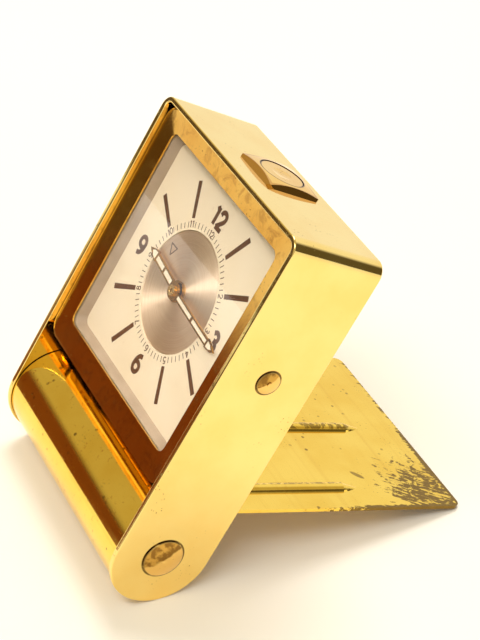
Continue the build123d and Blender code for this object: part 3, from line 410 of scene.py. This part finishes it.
def gilt(name, tones, dull, scratched):
    """Polished gilt between two tones, with its least roughness and a share of scratches."""
    tree = Tree(name)
    tree.colour = tree.mix(tree.ramp(tree.noise(*TONE), *TONE_RANGE), *tones)
    fine = tree.ramp(tree.grain(CASE_AXES, HAIRLINE_STRETCH, LINE_DETAIL), *HAIRLINE_RANGE)
    cross = tree.ramp(tree.grain(DIAGONAL_AXES, CROSSLINE_STRETCH, LINE_DETAIL), *CROSSLINE_RANGE)
    lines = tree.most(fine, cross)
    pits = tree.spots(*PITS)
    tree.stain(pits, PIT_AMOUNT, PIT_TINT)
    smear = tree.ramp(tree.noise(*SMEAR), *SMEAR_RANGE, dull, dull + SMEAR_ROUGHNESS)
    tree.rough = tree.plus(smear, tree.times(lines, LINE_ROUGHNESS * scratched))
    tree.rough = tree.plus(tree.rough, tree.times(pits, PIT_ROUGHNESS))
    tree.height = tree.math("SUBTRACT", tree.times(lines, -LINE_DEPTH * scratched), pits)
    tree.bump(tree.height, METAL_BUMP, METAL_BUMP_DISTANCE)
    tree.set(Base_Color=tree.colour, Metallic=1.0, Roughness=tree.rough)
    return tree


# Case: worn front edge, painted shade in the gap round the stud and pin heads, and a painted dark reflection
# on their upper halves
CASE_TONES = (linear(254, 226, 142), linear(251, 216, 126))
CASE_POLISH = (0.06, 0.5)
CASE_EDGE = (9.1 * MM, 9.4 * MM)
CASE_SIDE = (24.7 * MM, 24.9 * MM)
NICKS = (520.0, 4.0, 0.7)
NICK_RANGE = (0.6, 0.68)
NICK_TINT = linear(140, 112, 44)
NICK_AMOUNT = 0.55
NICK_ROUGHNESS = 0.25
STUD_RING = (3.60 * MM, 3.86 * MM)
PIN_RING = (2.10 * MM, 2.34 * MM)
RING_SOFT = 0.14 * MM
HEAD_TINT = linear(238, 188, 100)
HEAD_AMOUNT = 0.7
# Painted dark reflection over the upper half of each head
DARK_REFLECTION_TOWARDS = Vector((0, -0.35, 0.94)).normalized()
DARK_REFLECTION_START = 0.28
DARK_REFLECTION_FULL = 0.42
DARK_REFLECTION_WAVER = 0.5
DARK_REFLECTION_CLOUD = (480.0, 3.0)
DARK_REFLECTION_GRAIN = (650.0, 4.0)
DARK_REFLECTION_GRAIN_RANGE = (0.42, 0.6)
DARK_REFLECTION_TINTS = (linear(126, 86, 30), linear(198, 152, 68))
DARK_REFLECTION_AMOUNT = 0.92
# Painted shade in the gap round each head
HEAD_GAP_SHADE = (700.0, 3.0)
HEAD_GAP_SHADE_RANGE = (0.25, 0.5, 0.55, 1.0)
HEAD_GAP_SHADE_TINT = linear(86, 58, 20)
HEAD_GAP_SHADE_AMOUNT = 0.9


def head_mask(tree, centre, radius):
    """Round head on an axis that runs from side to side through a point."""
    return tree.ramp(tree.radius_about(centre), radius, radius - RING_SOFT)


def tarnish_mask(tree, centre, radius, cloud):
    """Upper half of a round head, with an uneven lower edge, where a dark reflection is painted."""
    height = tree.plus(tree.along(DARK_REFLECTION_TOWARDS, centre), tree.times(cloud, DARK_REFLECTION_WAVER * radius))
    upper = tree.ramp(height, DARK_REFLECTION_START * radius, DARK_REFLECTION_FULL * radius)
    return tree.times(head_mask(tree, centre, radius), upper)


def case_gilt():
    tree = gilt("gilt_case", CASE_TONES, *CASE_POLISH)
    heads = ((hinge_point, STUD_RING), (dial_origin, PIN_RING))
    outside = tree.ramp(tree.size(tree.along(right, MIDDLE)), *CASE_SIDE)
    edge = tree.ramp(tree.along(forward, dial_origin), *CASE_EDGE)
    worn = tree.times(edge, tree.ramp(tree.noise(*NICKS), *NICK_RANGE))
    tree.stain(worn, NICK_AMOUNT, NICK_TINT)
    head = tree.most(*(head_mask(tree, centre, ring[0]) for centre, ring in heads))
    tree.stain(tree.times(head, outside), HEAD_AMOUNT, HEAD_TINT)
    # Upper halves of the heads darkened: a painted dark reflection
    cloud = tree.noise(*DARK_REFLECTION_CLOUD)
    dark_reflection = tree.most(*(tarnish_mask(tree, centre, ring[0], cloud) for centre, ring in heads))
    dark_reflection_tint = tree.mix(tree.ramp(tree.noise(*DARK_REFLECTION_GRAIN), *DARK_REFLECTION_GRAIN_RANGE), *DARK_REFLECTION_TINTS)
    tree.stain(tree.times(dark_reflection, outside), DARK_REFLECTION_AMOUNT, dark_reflection_tint)
    # Dark ring round each head: painted shade in the gap
    rings = tree.most(*(tree.band(tree.radius_about(centre), *ring, RING_SOFT) for centre, ring in heads))
    gap_shade = tree.times(tree.times(rings, outside), tree.ramp(tree.noise(*HEAD_GAP_SHADE), *HEAD_GAP_SHADE_RANGE))
    tree.stain(gap_shade, HEAD_GAP_SHADE_AMOUNT, HEAD_GAP_SHADE_TINT)
    tree.set(Base_Color=tree.colour, Roughness=tree.plus(tree.rough, tree.times(worn, NICK_ROUGHNESS)))
    return tree.material


# Boss and button: facets made browner as a painted dark reflection, and a painted shadow in the seam round
# the button
BOSS_TONES = (linear(248, 206, 116), linear(238, 188, 92))
BOSS_POLISH = (0.07, 0.8)
FACET_START = 4.75 * MM
FACET_SOFT = 0.2 * MM
# Painted dark reflection on the boss's facets
FACET_REFLECTION_TINT = linear(196, 134, 56)
FACET_REFLECTION_AMOUNT = 0.6
SEAM = (3.94 * MM, 4.2 * MM)
# Painted shadow in the seam round the button
SEAM_SHADOW_TINT = linear(92, 56, 20)
SEAM_SHADOW_AMOUNT = 0.85


def boss_gilt():
    tree = gilt("gilt_boss", BOSS_TONES, *BOSS_POLISH)
    across = tree.size(tree.along(right, button_middle))
    deep = tree.size(tree.along(forward, button_middle))
    # Facets browner: painted dark reflection
    facet_reflection = tree.ramp(tree.most(across, deep), FACET_START - FACET_SOFT, FACET_START)
    tree.stain(facet_reflection, FACET_REFLECTION_AMOUNT, FACET_REFLECTION_TINT)
    # Dark seam round the button: painted shadow
    radius = tree.vector("LENGTH", tree.vector("CROSS_PRODUCT", tree.spoke(button_middle), tuple(upward)))
    tree.stain(tree.band(radius, *SEAM, RING_SOFT), SEAM_SHADOW_AMOUNT, SEAM_SHADOW_TINT)
    tree.set(Base_Color=tree.colour)
    return tree.material


# Bezel: rubbed patches
BEZEL_TONES = (linear(240, 190, 92), linear(228, 170, 74))
BEZEL_POLISH = (0.08, 0.8)
RUB = (330.0, 6.0, 0.68)
RUB_DISTORTION = 1.0
RUB_RANGE = (0.48, 0.66)
RUB_TINT = linear(150, 98, 44)
RUB_AMOUNT = 0.35
RUB_ROUGHNESS = 0.1


def bezel_gilt():
    tree = gilt("gilt_bezel", BEZEL_TONES, *BEZEL_POLISH)
    rubbed = tree.ramp(tree.noise(*RUB, distortion=RUB_DISTORTION), *RUB_RANGE)
    tree.stain(rubbed, RUB_AMOUNT, RUB_TINT)
    tree.set(Base_Color=tree.colour, Roughness=tree.plus(tree.rough, tree.times(rubbed, RUB_ROUGHNESS)))
    return tree.material


# Lid: streaks across it and freckles on the barrel. Gilt is worn off at one corner, along two edges and on
# the ribs' far flanks, and in specks and one dash.
LID_TONES = (linear(251, 215, 98), linear(243, 201, 80))
LID_POLISH = (0.07, 0.9)
STREAK_STRETCH = (12, 620, 620)
STREAK_DETAIL = 3.0
STREAK_RANGE = (0.5, 0.8, 0.0, 0.35)
STREAK_TINT = linear(226, 178, 70)
STREAK_HEIGHT = 1.5
BARREL_RANGE = (9.3 * MM, 9.1 * MM)
FRECKLES = (900.0, 3.0, 0.7)
FRECKLE_RANGE = (0.6, 0.68)
FRECKLE_FIELD = (110.0, 2.0)
FRECKLE_FIELD_RANGE = (0.45, 0.6)
FRECKLE_TINT = linear(190, 126, 40)
FRECKLE_AMOUNT = 0.75
CORNER_REACH = (32 * MM, 54 * MM, 0.0, 0.68)
CORNER_SIDE = (-10 * MM, 20 * MM)
FREE_EDGE_REACH = (57.5 * MM, 60.4 * MM)
FREE_EDGE_SIDE = (-6 * MM, 8 * MM, 0.60, 0.95)
NEAR_EDGE_SIDE = (22.0 * MM, 23.9 * MM)
NEAR_EDGE_REACH = (18 * MM, 50 * MM, 0.3, 0.95)
FLAKES = (420.0, 6.0, 0.62)
FLAKE_DISTORTION = 1.4
FLAKE_SHARE = 0.6
STROKE_LEAN = 0.5
STROKE_AXES = (lid_along + right * STROKE_LEAN, right - lid_along * STROKE_LEAN, lid_out)
STROKE_STRETCH = (240, 1500, 1500)
STROKE_DETAIL = 3.0
STROKE_DISTORTION = 1.0
STROKE_SHARE = 0.5
WEAR_SHARE = 0.56
WEAR_RANGE = (0.87, 0.92)
SPECKS = (520.0, (0.22, 0.12), (130.0, 2.0), (0.5, 0.62))
SPECK_AMOUNT = 0.85
RIB_RISE = (9.35 * MM, 9.6 * MM)
RIB_FLAKES = (0.44, 0.52)
RIB_SIDE = (18.2 * MM, 17.6 * MM)
RIB_AMOUNT = 0.8
DASH_AT = hinge_point + right * 14.4 * MM + lid_along * 42.3 * MM
DASH_ALONG = (lid_along + right).normalized()
DASH_ACROSS = (right - lid_along).normalized()
DASH_HALF_LENGTH = 1.5 * MM
DASH_HALF_WIDTH = 0.55 * MM
DASH_RANGE = (1.2, 0.6)
DASH_REACH = (20 * MM, 21 * MM)
DASH_AMOUNT = 0.75
BARE_TINTS = (linear(104, 82, 34), linear(150, 118, 52))
BARE_ROUGHNESS = 0.22


def lid_dash(tree, reach):
    """Short oval mark on the lid's plate."""
    squares = []
    for direction, half in ((DASH_ALONG, DASH_HALF_LENGTH), (DASH_ACROSS, DASH_HALF_WIDTH)):
        share = tree.math("DIVIDE", tree.along(direction, DASH_AT), half)
        squares.append(tree.math("POWER", tree.size(share), 2.0))
    return tree.times(tree.ramp(tree.plus(*squares), *DASH_RANGE), tree.ramp(reach, *DASH_REACH))


def lid_gilt():
    tree = gilt("gilt_lid", LID_TONES, *LID_POLISH)
    reach = tree.along(lid_along, hinge_point)
    side = tree.along(right, MIDDLE)
    rise = tree.along(lid_out, hinge_point)
    streak = tree.grain(LID_AXES, STREAK_STRETCH, STREAK_DETAIL)
    tree.colour = tree.mix(tree.ramp(streak, *STREAK_RANGE), tree.colour, STREAK_TINT)
    tree.bump(tree.plus(tree.height, tree.times(streak, STREAK_HEIGHT)), METAL_BUMP, METAL_BUMP_DISTANCE)
    freckles = tree.times(tree.ramp(tree.noise(*FRECKLES), *FRECKLE_RANGE),
                          tree.ramp(tree.noise(*FRECKLE_FIELD), *FRECKLE_FIELD_RANGE))
    barrel = tree.ramp(tree.radius_about(hinge_point), *BARREL_RANGE)
    tree.stain(tree.times(freckles, barrel), FRECKLE_AMOUNT, FRECKLE_TINT)
    corner = tree.times(tree.ramp(reach, *CORNER_REACH), tree.ramp(side, *CORNER_SIDE))
    free_edge = tree.times(tree.ramp(reach, *FREE_EDGE_REACH), tree.ramp(side, *FREE_EDGE_SIDE))
    near_edge = tree.times(tree.ramp(side, *NEAR_EDGE_SIDE), tree.ramp(reach, *NEAR_EDGE_REACH))
    amount = tree.most(corner, tree.most(free_edge, near_edge))
    flakes = tree.noise(*FLAKES, distortion=FLAKE_DISTORTION)
    strokes = tree.grain(STROKE_AXES, STROKE_STRETCH, STROKE_DETAIL, STROKE_DISTORTION)
    rubbed = tree.plus(tree.times(flakes, FLAKE_SHARE), tree.times(strokes, STROKE_SHARE))
    bare = tree.ramp(tree.plus(rubbed, tree.times(amount, WEAR_SHARE)), *WEAR_RANGE)
    crest = tree.times(tree.ramp(rise, *RIB_RISE), tree.ramp(flakes, *RIB_FLAKES))
    far_flank = tree.times(crest, tree.ramp(side, *RIB_SIDE))
    bare = tree.most(bare, tree.times(tree.spots(*SPECKS), SPECK_AMOUNT))
    bare = tree.most(bare, tree.times(lid_dash(tree, reach), DASH_AMOUNT))
    bare = tree.most(bare, tree.times(far_flank, RIB_AMOUNT))
    tree.colour = tree.mix(bare, tree.colour, tree.mix(flakes, *BARE_TINTS))
    tree.set(Base_Color=tree.colour, Roughness=tree.plus(tree.rough, tree.times(bare, BARE_ROUGHNESS)))
    return tree.material


# Hands and their cap; the hands' gilt is darker than the cap's, a painted shade
HAND_SHADED_TONES = (linear(190, 144, 58), linear(154, 114, 42))
HAND_POLISH = (0.14, 0.4)
CAP_TONES = (linear(254, 228, 152), linear(248, 214, 130))
CAP_POLISH = (0.26, 0.4)

# Brushed metal of the back and the movement: two tones and the least roughness of each
BACK_BRASS = (linear(238, 206, 128), linear(220, 184, 104), 0.24)
KEY_BRASS = (linear(226, 190, 108), linear(204, 164, 84), 0.18)
MOVEMENT_BRASS = (linear(222, 188, 112), linear(202, 164, 90), 0.26)
STEEL = (linear(196, 196, 200), linear(160, 160, 166), 0.22)
BRUSH_STRETCH = (120, 5200, 5200)
BRUSH_DETAIL = 3.0
BRUSH_SHARE = 0.6
BRUSH_CLOUD = (140.0, 4.0)
BRUSH_CLOUD_SHARE = 0.5
BRUSH_TONE_RANGE = (0.3, 0.8)
BRUSH_BUMP = 0.12
BRUSH_ROUGHNESS_RANGE = (0.2, 0.9)
BRUSH_ROUGHNESS = 0.2
STAINS = (700.0, (0.22, 0.1), (90.0, 2.0), (0.5, 0.68))
STAIN_TINT = linear(88, 60, 26)
STAIN_AMOUNT = 0.6


def turned(name, base, deep, dull):
    """Brushed metal with short grain lines and a few dark spots."""
    tree = Tree(name)
    brush = tree.grain(CASE_AXES, BRUSH_STRETCH, BRUSH_DETAIL)
    tone = tree.plus(tree.times(brush, BRUSH_SHARE), tree.times(tree.noise(*BRUSH_CLOUD), BRUSH_CLOUD_SHARE))
    tree.colour = tree.mix(tree.ramp(tone, *BRUSH_TONE_RANGE), base, deep)
    tree.stain(tree.spots(*STAINS), STAIN_AMOUNT, STAIN_TINT)
    tree.bump(brush, BRUSH_BUMP, METAL_BUMP_DISTANCE)
    tree.set(Base_Color=tree.colour, Metallic=1.0,
             Roughness=tree.ramp(tone, *BRUSH_ROUGHNESS_RANGE, dull, dull + BRUSH_ROUGHNESS))
    return tree.material


# Dial and the sloped flange round it
DIAL_TONES = (linear(249, 233, 204), linear(244, 225, 191))
DIAL_CLOUD = (70.0, 4.0)
DIAL_CLOUD_RANGE = (0.3, 0.8)
DIAL_ROUGHNESS = (0.48, 0.58)
DIAL_SPECULAR = 0.3
DIAL_GRAIN = (2600.0, 2.0)
DIAL_BUMP = 0.05
FOXING = (360.0, (0.16, 0.05), (60.0, 2.0), (0.55, 0.7))
FOXING_TINT = linear(190, 140, 110)
FOXING_AMOUNT = 0.25
FLANGE_TONES = (linear(178, 158, 134), linear(160, 140, 116))
FLANGE_CLOUD = (160.0, 5.0)
FLANGE_CLOUD_RANGE = (0.3, 0.8)
FLANGE_ROUGHNESS = 0.5
FLANGE_SPECULAR = 0.35
FLANGE_GRAIN = (3000.0, 2.0)
FLANGE_BUMP = 0.06
PAINT_BUMP_DISTANCE = 0.02 * MM


def dial_paint():
    """Cream paint with faint brown spots of age."""
    tree = Tree("dial_paint")
    cloud = tree.ramp(tree.noise(*DIAL_CLOUD), *DIAL_CLOUD_RANGE)
    tree.colour = tree.mix(cloud, *DIAL_TONES)
    tree.stain(tree.spots(*FOXING), FOXING_AMOUNT, FOXING_TINT)
    tree.bump(tree.noise(*DIAL_GRAIN), DIAL_BUMP, PAINT_BUMP_DISTANCE)
    tree.set(Base_Color=tree.colour, Roughness=tree.ramp(cloud, 0.0, 1.0, *DIAL_ROUGHNESS),
             Specular_IOR_Level=DIAL_SPECULAR)
    return tree.material


def flange_paint():
    tree = Tree("flange_paint")
    tree.colour = tree.mix(tree.ramp(tree.noise(*FLANGE_CLOUD), *FLANGE_CLOUD_RANGE), *FLANGE_TONES)
    tree.bump(tree.noise(*FLANGE_GRAIN), FLANGE_BUMP, PAINT_BUMP_DISTANCE)
    tree.set(Base_Color=tree.colour, Roughness=FLANGE_ROUGHNESS, Specular_IOR_Level=FLANGE_SPECULAR)
    return tree.material


# Alarm disc
DISC_TONES = (linear(250, 228, 202), linear(240, 214, 184))
DISC_STRETCH = (9000.0, 60.0, 60.0)
DISC_DETAIL = 2.0
DISC_TONE_RANGE = (0.3, 0.7)
DISC_ROUGHNESS = (0.2, 0.8, 0.44, 0.52)
DISC_METALLIC = 0.9
DISC_ANISOTROPY = 0.95
DISC_BUMP = 0.05
DISC_BUMP_DISTANCE = 0.01 * MM


def brushed_disc():
    """Champagne metal brushed in circles round the hands."""
    tree = Tree("brushed_disc")
    spoke = tree.spoke(dial_origin + forward * disc_level)
    across = [tree.vector("DOT_PRODUCT", spoke, tuple(axis)) for axis in (right, upward)]
    place = tree.stretched([tree.vector("LENGTH", spoke), *across], DISC_STRETCH)
    rings = tree.noise(1.0, DISC_DETAIL, place=place)
    tree.bump(rings, DISC_BUMP, DISC_BUMP_DISTANCE)
    tree.set(Base_Color=tree.mix(tree.ramp(rings, *DISC_TONE_RANGE), *DISC_TONES), Metallic=DISC_METALLIC,
             Roughness=tree.ramp(rings, *DISC_ROUGHNESS), Anisotropic=DISC_ANISOTROPY,
             Tangent=tree.vector("NORMALIZE", spoke))
    return tree.material


# Pale fill of the hands, ink of the print, and glass
FILL_TONES = (linear(252, 243, 222), linear(236, 220, 188))
FILL_GRAIN = (2400.0, 4.0, 0.7)
FILL_RANGE = (0.3, 0.75)
FILL_ROUGHNESS = 0.7
FILL_BUMP = 0.25
FILL_BUMP_DISTANCE = 0.04 * MM
INK_TONES = (linear(88, 54, 32), linear(108, 70, 44))
INK_GRAIN = (1800.0, 3.0)
INK_RANGE = (0.3, 0.7)
INK_ROUGHNESS = (0.2, 0.8, 0.4, 0.55)
GLASS_COLOUR = (1, 1, 1, 1)
GLASS_ROUGHNESS = (0.6, 0.75, 0.01, 0.08)
GLASS_IOR = 1.5
WIPE_STRETCH = (150, 2600, 2600)
WIPE_DETAIL = 2.0


def fill_paint():
    tree = Tree("hand_fill")
    grain = tree.noise(*FILL_GRAIN)
    tree.bump(grain, FILL_BUMP, FILL_BUMP_DISTANCE)
    tree.set(Base_Color=tree.mix(tree.ramp(grain, *FILL_RANGE), *FILL_TONES), Roughness=FILL_ROUGHNESS)
    return tree.material


def print_ink():
    tree = Tree("print_ink")
    grain = tree.noise(*INK_GRAIN)
    tree.set(Base_Color=tree.mix(tree.ramp(grain, *INK_RANGE), *INK_TONES),
             Roughness=tree.ramp(grain, *INK_ROUGHNESS))
    return tree.material


def glass():
    """Clear glass with faint wipe marks, which lets the lamps' light through."""
    tree = Tree("glass")
    wipe = tree.grain(DIAGONAL_AXES, WIPE_STRETCH, WIPE_DETAIL)
    tree.set(Base_Color=GLASS_COLOUR, Roughness=tree.ramp(wipe, *GLASS_ROUGHNESS), IOR=GLASS_IOR,
             Transmission_Weight=1.0)
    clear = tree.nodes.new("ShaderNodeBsdfTransparent")
    rays = tree.nodes.new("ShaderNodeLightPath").outputs
    tree.surface(rays["Is Shadow Ray"], tree.shader.outputs[0], clear.outputs[0])
    return tree.material


# Flat print on the dial, drawn as thin closed ribbons
INK_HEIGHT = 0.012 * MM
CURVE_STEPS = 8


def dial_point(x, y, level):
    return dial_origin + right * x + upward * y + forward * level


def smooth_path(points, closed=False):
    """Points along a smooth curve through the given ones."""
    if len(points) == 2:
        return [Vector(point) for point in points]
    out = []
    count = len(points)
    spans = count if closed else count - 1
    for index in range(spans):
        if closed:
            p0, p1, p2, p3 = (Vector(points[(index + k) % count]) for k in (-1, 0, 1, 2))
        else:
            p0, p1, p2, p3 = (Vector(points[min(max(index + k, 0), count - 1)]) for k in (-1, 0, 1, 2))
        for step in range(CURVE_STEPS):
            t = step / CURVE_STEPS
            out.append(0.5 * (2 * p1 + (p2 - p0) * t + (2 * p0 - 5 * p1 + 4 * p2 - p3) * t * t
                              + (3 * p1 - p0 - 3 * p2 + p3) * t ** 3))
    if not closed:
        out.append(Vector(points[-1]))
    return out


def add_stroke(mesh, path, width, level, closed=False, end_width=None):
    """Ribbon of one width, or tapering to another, along a path in dial millimetres."""
    count = len(path)
    sides = []
    for index, point in enumerate(path):
        before = path[index - 1] if closed or index else path[index]
        after = path[(index + 1) % count] if closed or index < count - 1 else path[index]
        run = (after - before).normalized()
        normal = Vector((-run.y, run.x))
        share = index / max(count - 1, 1)
        half = (width + ((end_width or width) - width) * share) / 2
        sides.append((point + normal * half, point - normal * half))
    rings = []
    for left, other in sides:
        corners = [(left, level), (other, level), (other, level + INK_HEIGHT), (left, level + INK_HEIGHT)]
        rings.append([mesh.verts.new(dial_point(p.x * MM, p.y * MM, z)) for p, z in corners])
    spans = count if closed else count - 1
    for index in range(spans):
        first, second = rings[index], rings[(index + 1) % count]
        for k in range(4):
            mesh.faces.new((first[k], first[(k + 1) % 4], second[(k + 1) % 4], second[k]))
    if not closed:
        mesh.faces.new(rings[0][::-1])
        mesh.faces.new(rings[-1])


# Strokes of each figure in a cell one unit high, centred on the origin, and whether each is a closed loop
FIGURES = {
    "0": [([(0, 0.5), (0.26, 0.25), (0.28, -0.1), (0, -0.5), (-0.28, -0.1), (-0.26, 0.25)], True)],
    "1": [([(-0.16, 0.3), (0.04, 0.5)], False), ([(0.04, 0.5), (0.04, -0.5)], False)],
    "2": [([(-0.26, 0.24), (-0.16, 0.44), (0.06, 0.5), (0.26, 0.36), (0.24, 0.1), (-0.02, -0.2),
            (-0.28, -0.46)], False),
          ([(-0.3, -0.46), (0.32, -0.46)], False)],
    "3": [([(-0.24, 0.36), (0.0, 0.5), (0.24, 0.34), (0.2, 0.1), (-0.04, 0.02)], False),
          ([(-0.04, 0.02), (0.22, -0.06), (0.3, -0.28), (0.06, -0.5), (-0.28, -0.36)], False)],
    "4": [([(0.12, -0.5), (0.12, 0.5)], False), ([(0.12, 0.5), (-0.3, -0.22)], False),
          ([(-0.3, -0.22), (0.3, -0.22)], False)],
    "5": [([(0.24, 0.47), (-0.18, 0.47)], False), ([(-0.18, 0.47), (-0.22, 0.06)], False),
          ([(-0.22, 0.06), (0.04, 0.14), (0.28, -0.06), (0.22, -0.4), (-0.04, -0.5),
            (-0.28, -0.38)], False)],
    "6": [([(0.0, 0.08), (0.24, -0.02), (0.29, -0.22), (0.2, -0.42), (0, -0.5), (-0.2, -0.42),
            (-0.29, -0.2), (-0.22, 0.0)], True),
          ([(-0.28, -0.18), (-0.24, 0.14), (-0.06, 0.4), (0.2, 0.5)], False)],
    "7": [([(-0.28, 0.46), (0.28, 0.46)], False), ([(0.28, 0.46), (-0.08, -0.5)], False)],
    "8": [([(0, 0.5), (0.2, 0.36), (0.14, 0.1), (0, 0.02), (-0.14, 0.1), (-0.2, 0.36)], True),
          ([(0, 0.02), (0.24, -0.14), (0.24, -0.38), (0, -0.5), (-0.24, -0.38), (-0.24, -0.14)], True)],
}
FIGURES["9"] = [([(-x, -y) for x, y in path], closed) for path, closed in FIGURES["6"]]


def add_number(mesh, text, middle, height, weight, spacing, turn=0.0):
    """Number on the dial, centred on a point in dial millimetres and turned clockwise."""
    angle = math.radians(-turn)
    start = -(len(text) - 1) / 2 * spacing
    for place, figure in enumerate(text):
        shift = start + place * spacing
        for points, closed in FIGURES[figure]:
            path = []
            for point in smooth_path(points, closed):
                x, y = (point.x + shift) * height, point.y * height
                path.append(Vector((middle[0] + x * math.cos(angle) - y * math.sin(angle),
                                    middle[1] + x * math.sin(angle) + y * math.cos(angle))))
            add_stroke(mesh, path, weight, dial_level, closed)


def clock_point(degrees, radius):
    """Point at an angle clockwise from twelve."""
    angle = math.radians(degrees)
    return Vector((radius * math.sin(angle), radius * math.cos(angle)))


def finish_piece(name, mesh, material, body):
    bmesh.ops.recalc_face_normals(mesh, faces=mesh.faces)
    data = bpy.data.meshes.new(name)
    mesh.to_mesh(data)
    mesh.free()
    data.materials.append(material)
    piece = bpy.data.objects.new(name, data)
    scene.collection.objects.link(piece)
    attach(piece, body)


# Sizes of the print, in dial millimetres and degrees
HOUR_STEP = 30
BAR_HOURS = (1, 2, 4, 5, 7, 8, 10, 11)
BAR_REACH = (12.75, 19.25)
BAR_WIDTH = 0.85
BAR_TIP = 1.0
NUMERAL_MIDDLES = {12: (-0.3, 14.75), 3: (14.4, -0.3), 6: (-0.15, -15.0), 9: (-15.35, -0.2)}
NUMERAL_HEIGHT = 3.2
NUMERAL_WEIGHT = 0.84
NUMERAL_SPACING = 0.62
TICK_STEP = 5
TICK_REACH = (11.15, 12.15)
TICK_WIDTH = 0.15
FIGURE_RADIUS = 11.75
FIGURE_HEIGHT = 1.15
FIGURE_WEIGHT = 0.19
FIGURE_SPACING = 0.6
MARK_DIRECTION = -60.5
MARK_TIP = 9.7
MARK_BASE = 7.9
MARK_HALF_WIDTH = 1.05
MARK_WEIGHT = 0.24
MARK_SHARES = (0.0, 0.06, 0.5, 0.94)


def print_dial(ink):
    bars = bmesh.new()
    for hour in BAR_HOURS:
        ends = [clock_point(HOUR_STEP * hour, radius) for radius in BAR_REACH]
        add_stroke(bars, ends, BAR_WIDTH, dial_level, end_width=BAR_TIP)
    finish_piece("hour_bars", bars, ink, "case")
    numerals = bmesh.new()
    for hour, middle in NUMERAL_MIDDLES.items():
        add_number(numerals, str(hour), middle, NUMERAL_HEIGHT, NUMERAL_WEIGHT, NUMERAL_SPACING)
    finish_piece("hour_numerals", numerals, ink, "case")
    track = bmesh.new()
    for degrees in range(0, 360, TICK_STEP):
        if degrees % HOUR_STEP:
            ends = [clock_point(degrees, radius) for radius in TICK_REACH]
            add_stroke(track, ends, TICK_WIDTH, dial_level)
        else:
            hour = degrees // HOUR_STEP or 12
            middle = clock_point(degrees, FIGURE_RADIUS)
            add_number(track, str(hour), middle, FIGURE_HEIGHT, FIGURE_WEIGHT, FIGURE_SPACING, degrees)
    finish_piece("alarm_track", track, ink, "case")


def print_alarm_mark(ink):
    """Outline of a triangle that points outward."""
    mark = bmesh.new()
    out = clock_point(MARK_DIRECTION, 1.0)
    across = Vector((out.y, -out.x)) * MARK_HALF_WIDTH
    corners = [out * MARK_TIP, out * MARK_BASE + across, out * MARK_BASE - across]
    path = []
    for start, end in zip(corners, corners[1:] + corners[:1]):
        path += [start + (end - start) * share for share in MARK_SHARES]
    add_stroke(mark, path, MARK_WEIGHT, disc_level, closed=True)
    finish_piece("alarm_mark", mark, ink, "alarm_disc")


def dress(material, *names):
    """Gives nodes one material."""
    for name in names:
        data = nodes[name].data
        data.materials.clear()
        data.materials.append(material)
        for polygon in data.polygons:
            polygon.material_index = 0


make_camera()
make_floor()
make_card()
make_world()
make_lamp("key", *KEY_LAMP)
make_lamp("side", *SIDE_LAMP)

dress(case_gilt(), "case_shell", "hinge_studs", "module_pins", "module_case", "button_clip", "button_spring")
dress(boss_gilt(), "button_boss", "stop_button")
dress(bezel_gilt(), "bezel")
dress(lid_gilt(), "lid", "lid_end_plugs")
dress(glass(), "crystal")
dress(flange_paint(), "dial_flange")
dress(dial_paint(), "dial")
dress(brushed_disc(), "alarm_disc")
# Hands' gilt darkened: painted shade
dress(gilt("hand_gilt", HAND_SHADED_TONES, *HAND_POLISH).material, "hour_hand", "minute_hand")
dress(gilt("cap_gilt", CAP_TONES, *CAP_POLISH).material, "hand_cap")
dress(fill_paint(), "hour_fill", "minute_fill")
dress(turned("back_brass", *BACK_BRASS), "back_cover")
dress(turned("key_brass", *KEY_BRASS), "winding_key", "alarm_key", "hand_set_knob", "alarm_set_knob")
dress(turned("movement_brass", *MOVEMENT_BRASS), "main_plate", "back_plate", "plate_pillars", "cover_posts",
      "alarm_wheel", "cannon_pinion", "hour_wheel", "minute_wheel", "alarm_set_pinion", "going_barrel",
      "centre_wheel", "third_wheel", "fourth_wheel", "escape_wheel", "balance_wheel", "balance_cock",
      "alarm_barrel", "hammer_wheel", "gong_post", "hinge_washers")
dress(turned("steel", *STEEL), "cover_screws", "plate_screws", "mainspring", "barrel_arbor", "ratchet_wheel",
      "ratchet_click", "click_pins", "pallet_lever", "hairspring", "regulator", "alarm_mainspring",
      "alarm_arbor", "alarm_ratchet", "alarm_click", "hammer")
ink = print_ink()
print_dial(ink)
print_alarm_mark(ink)

scene.view_settings.view_transform = "Standard"
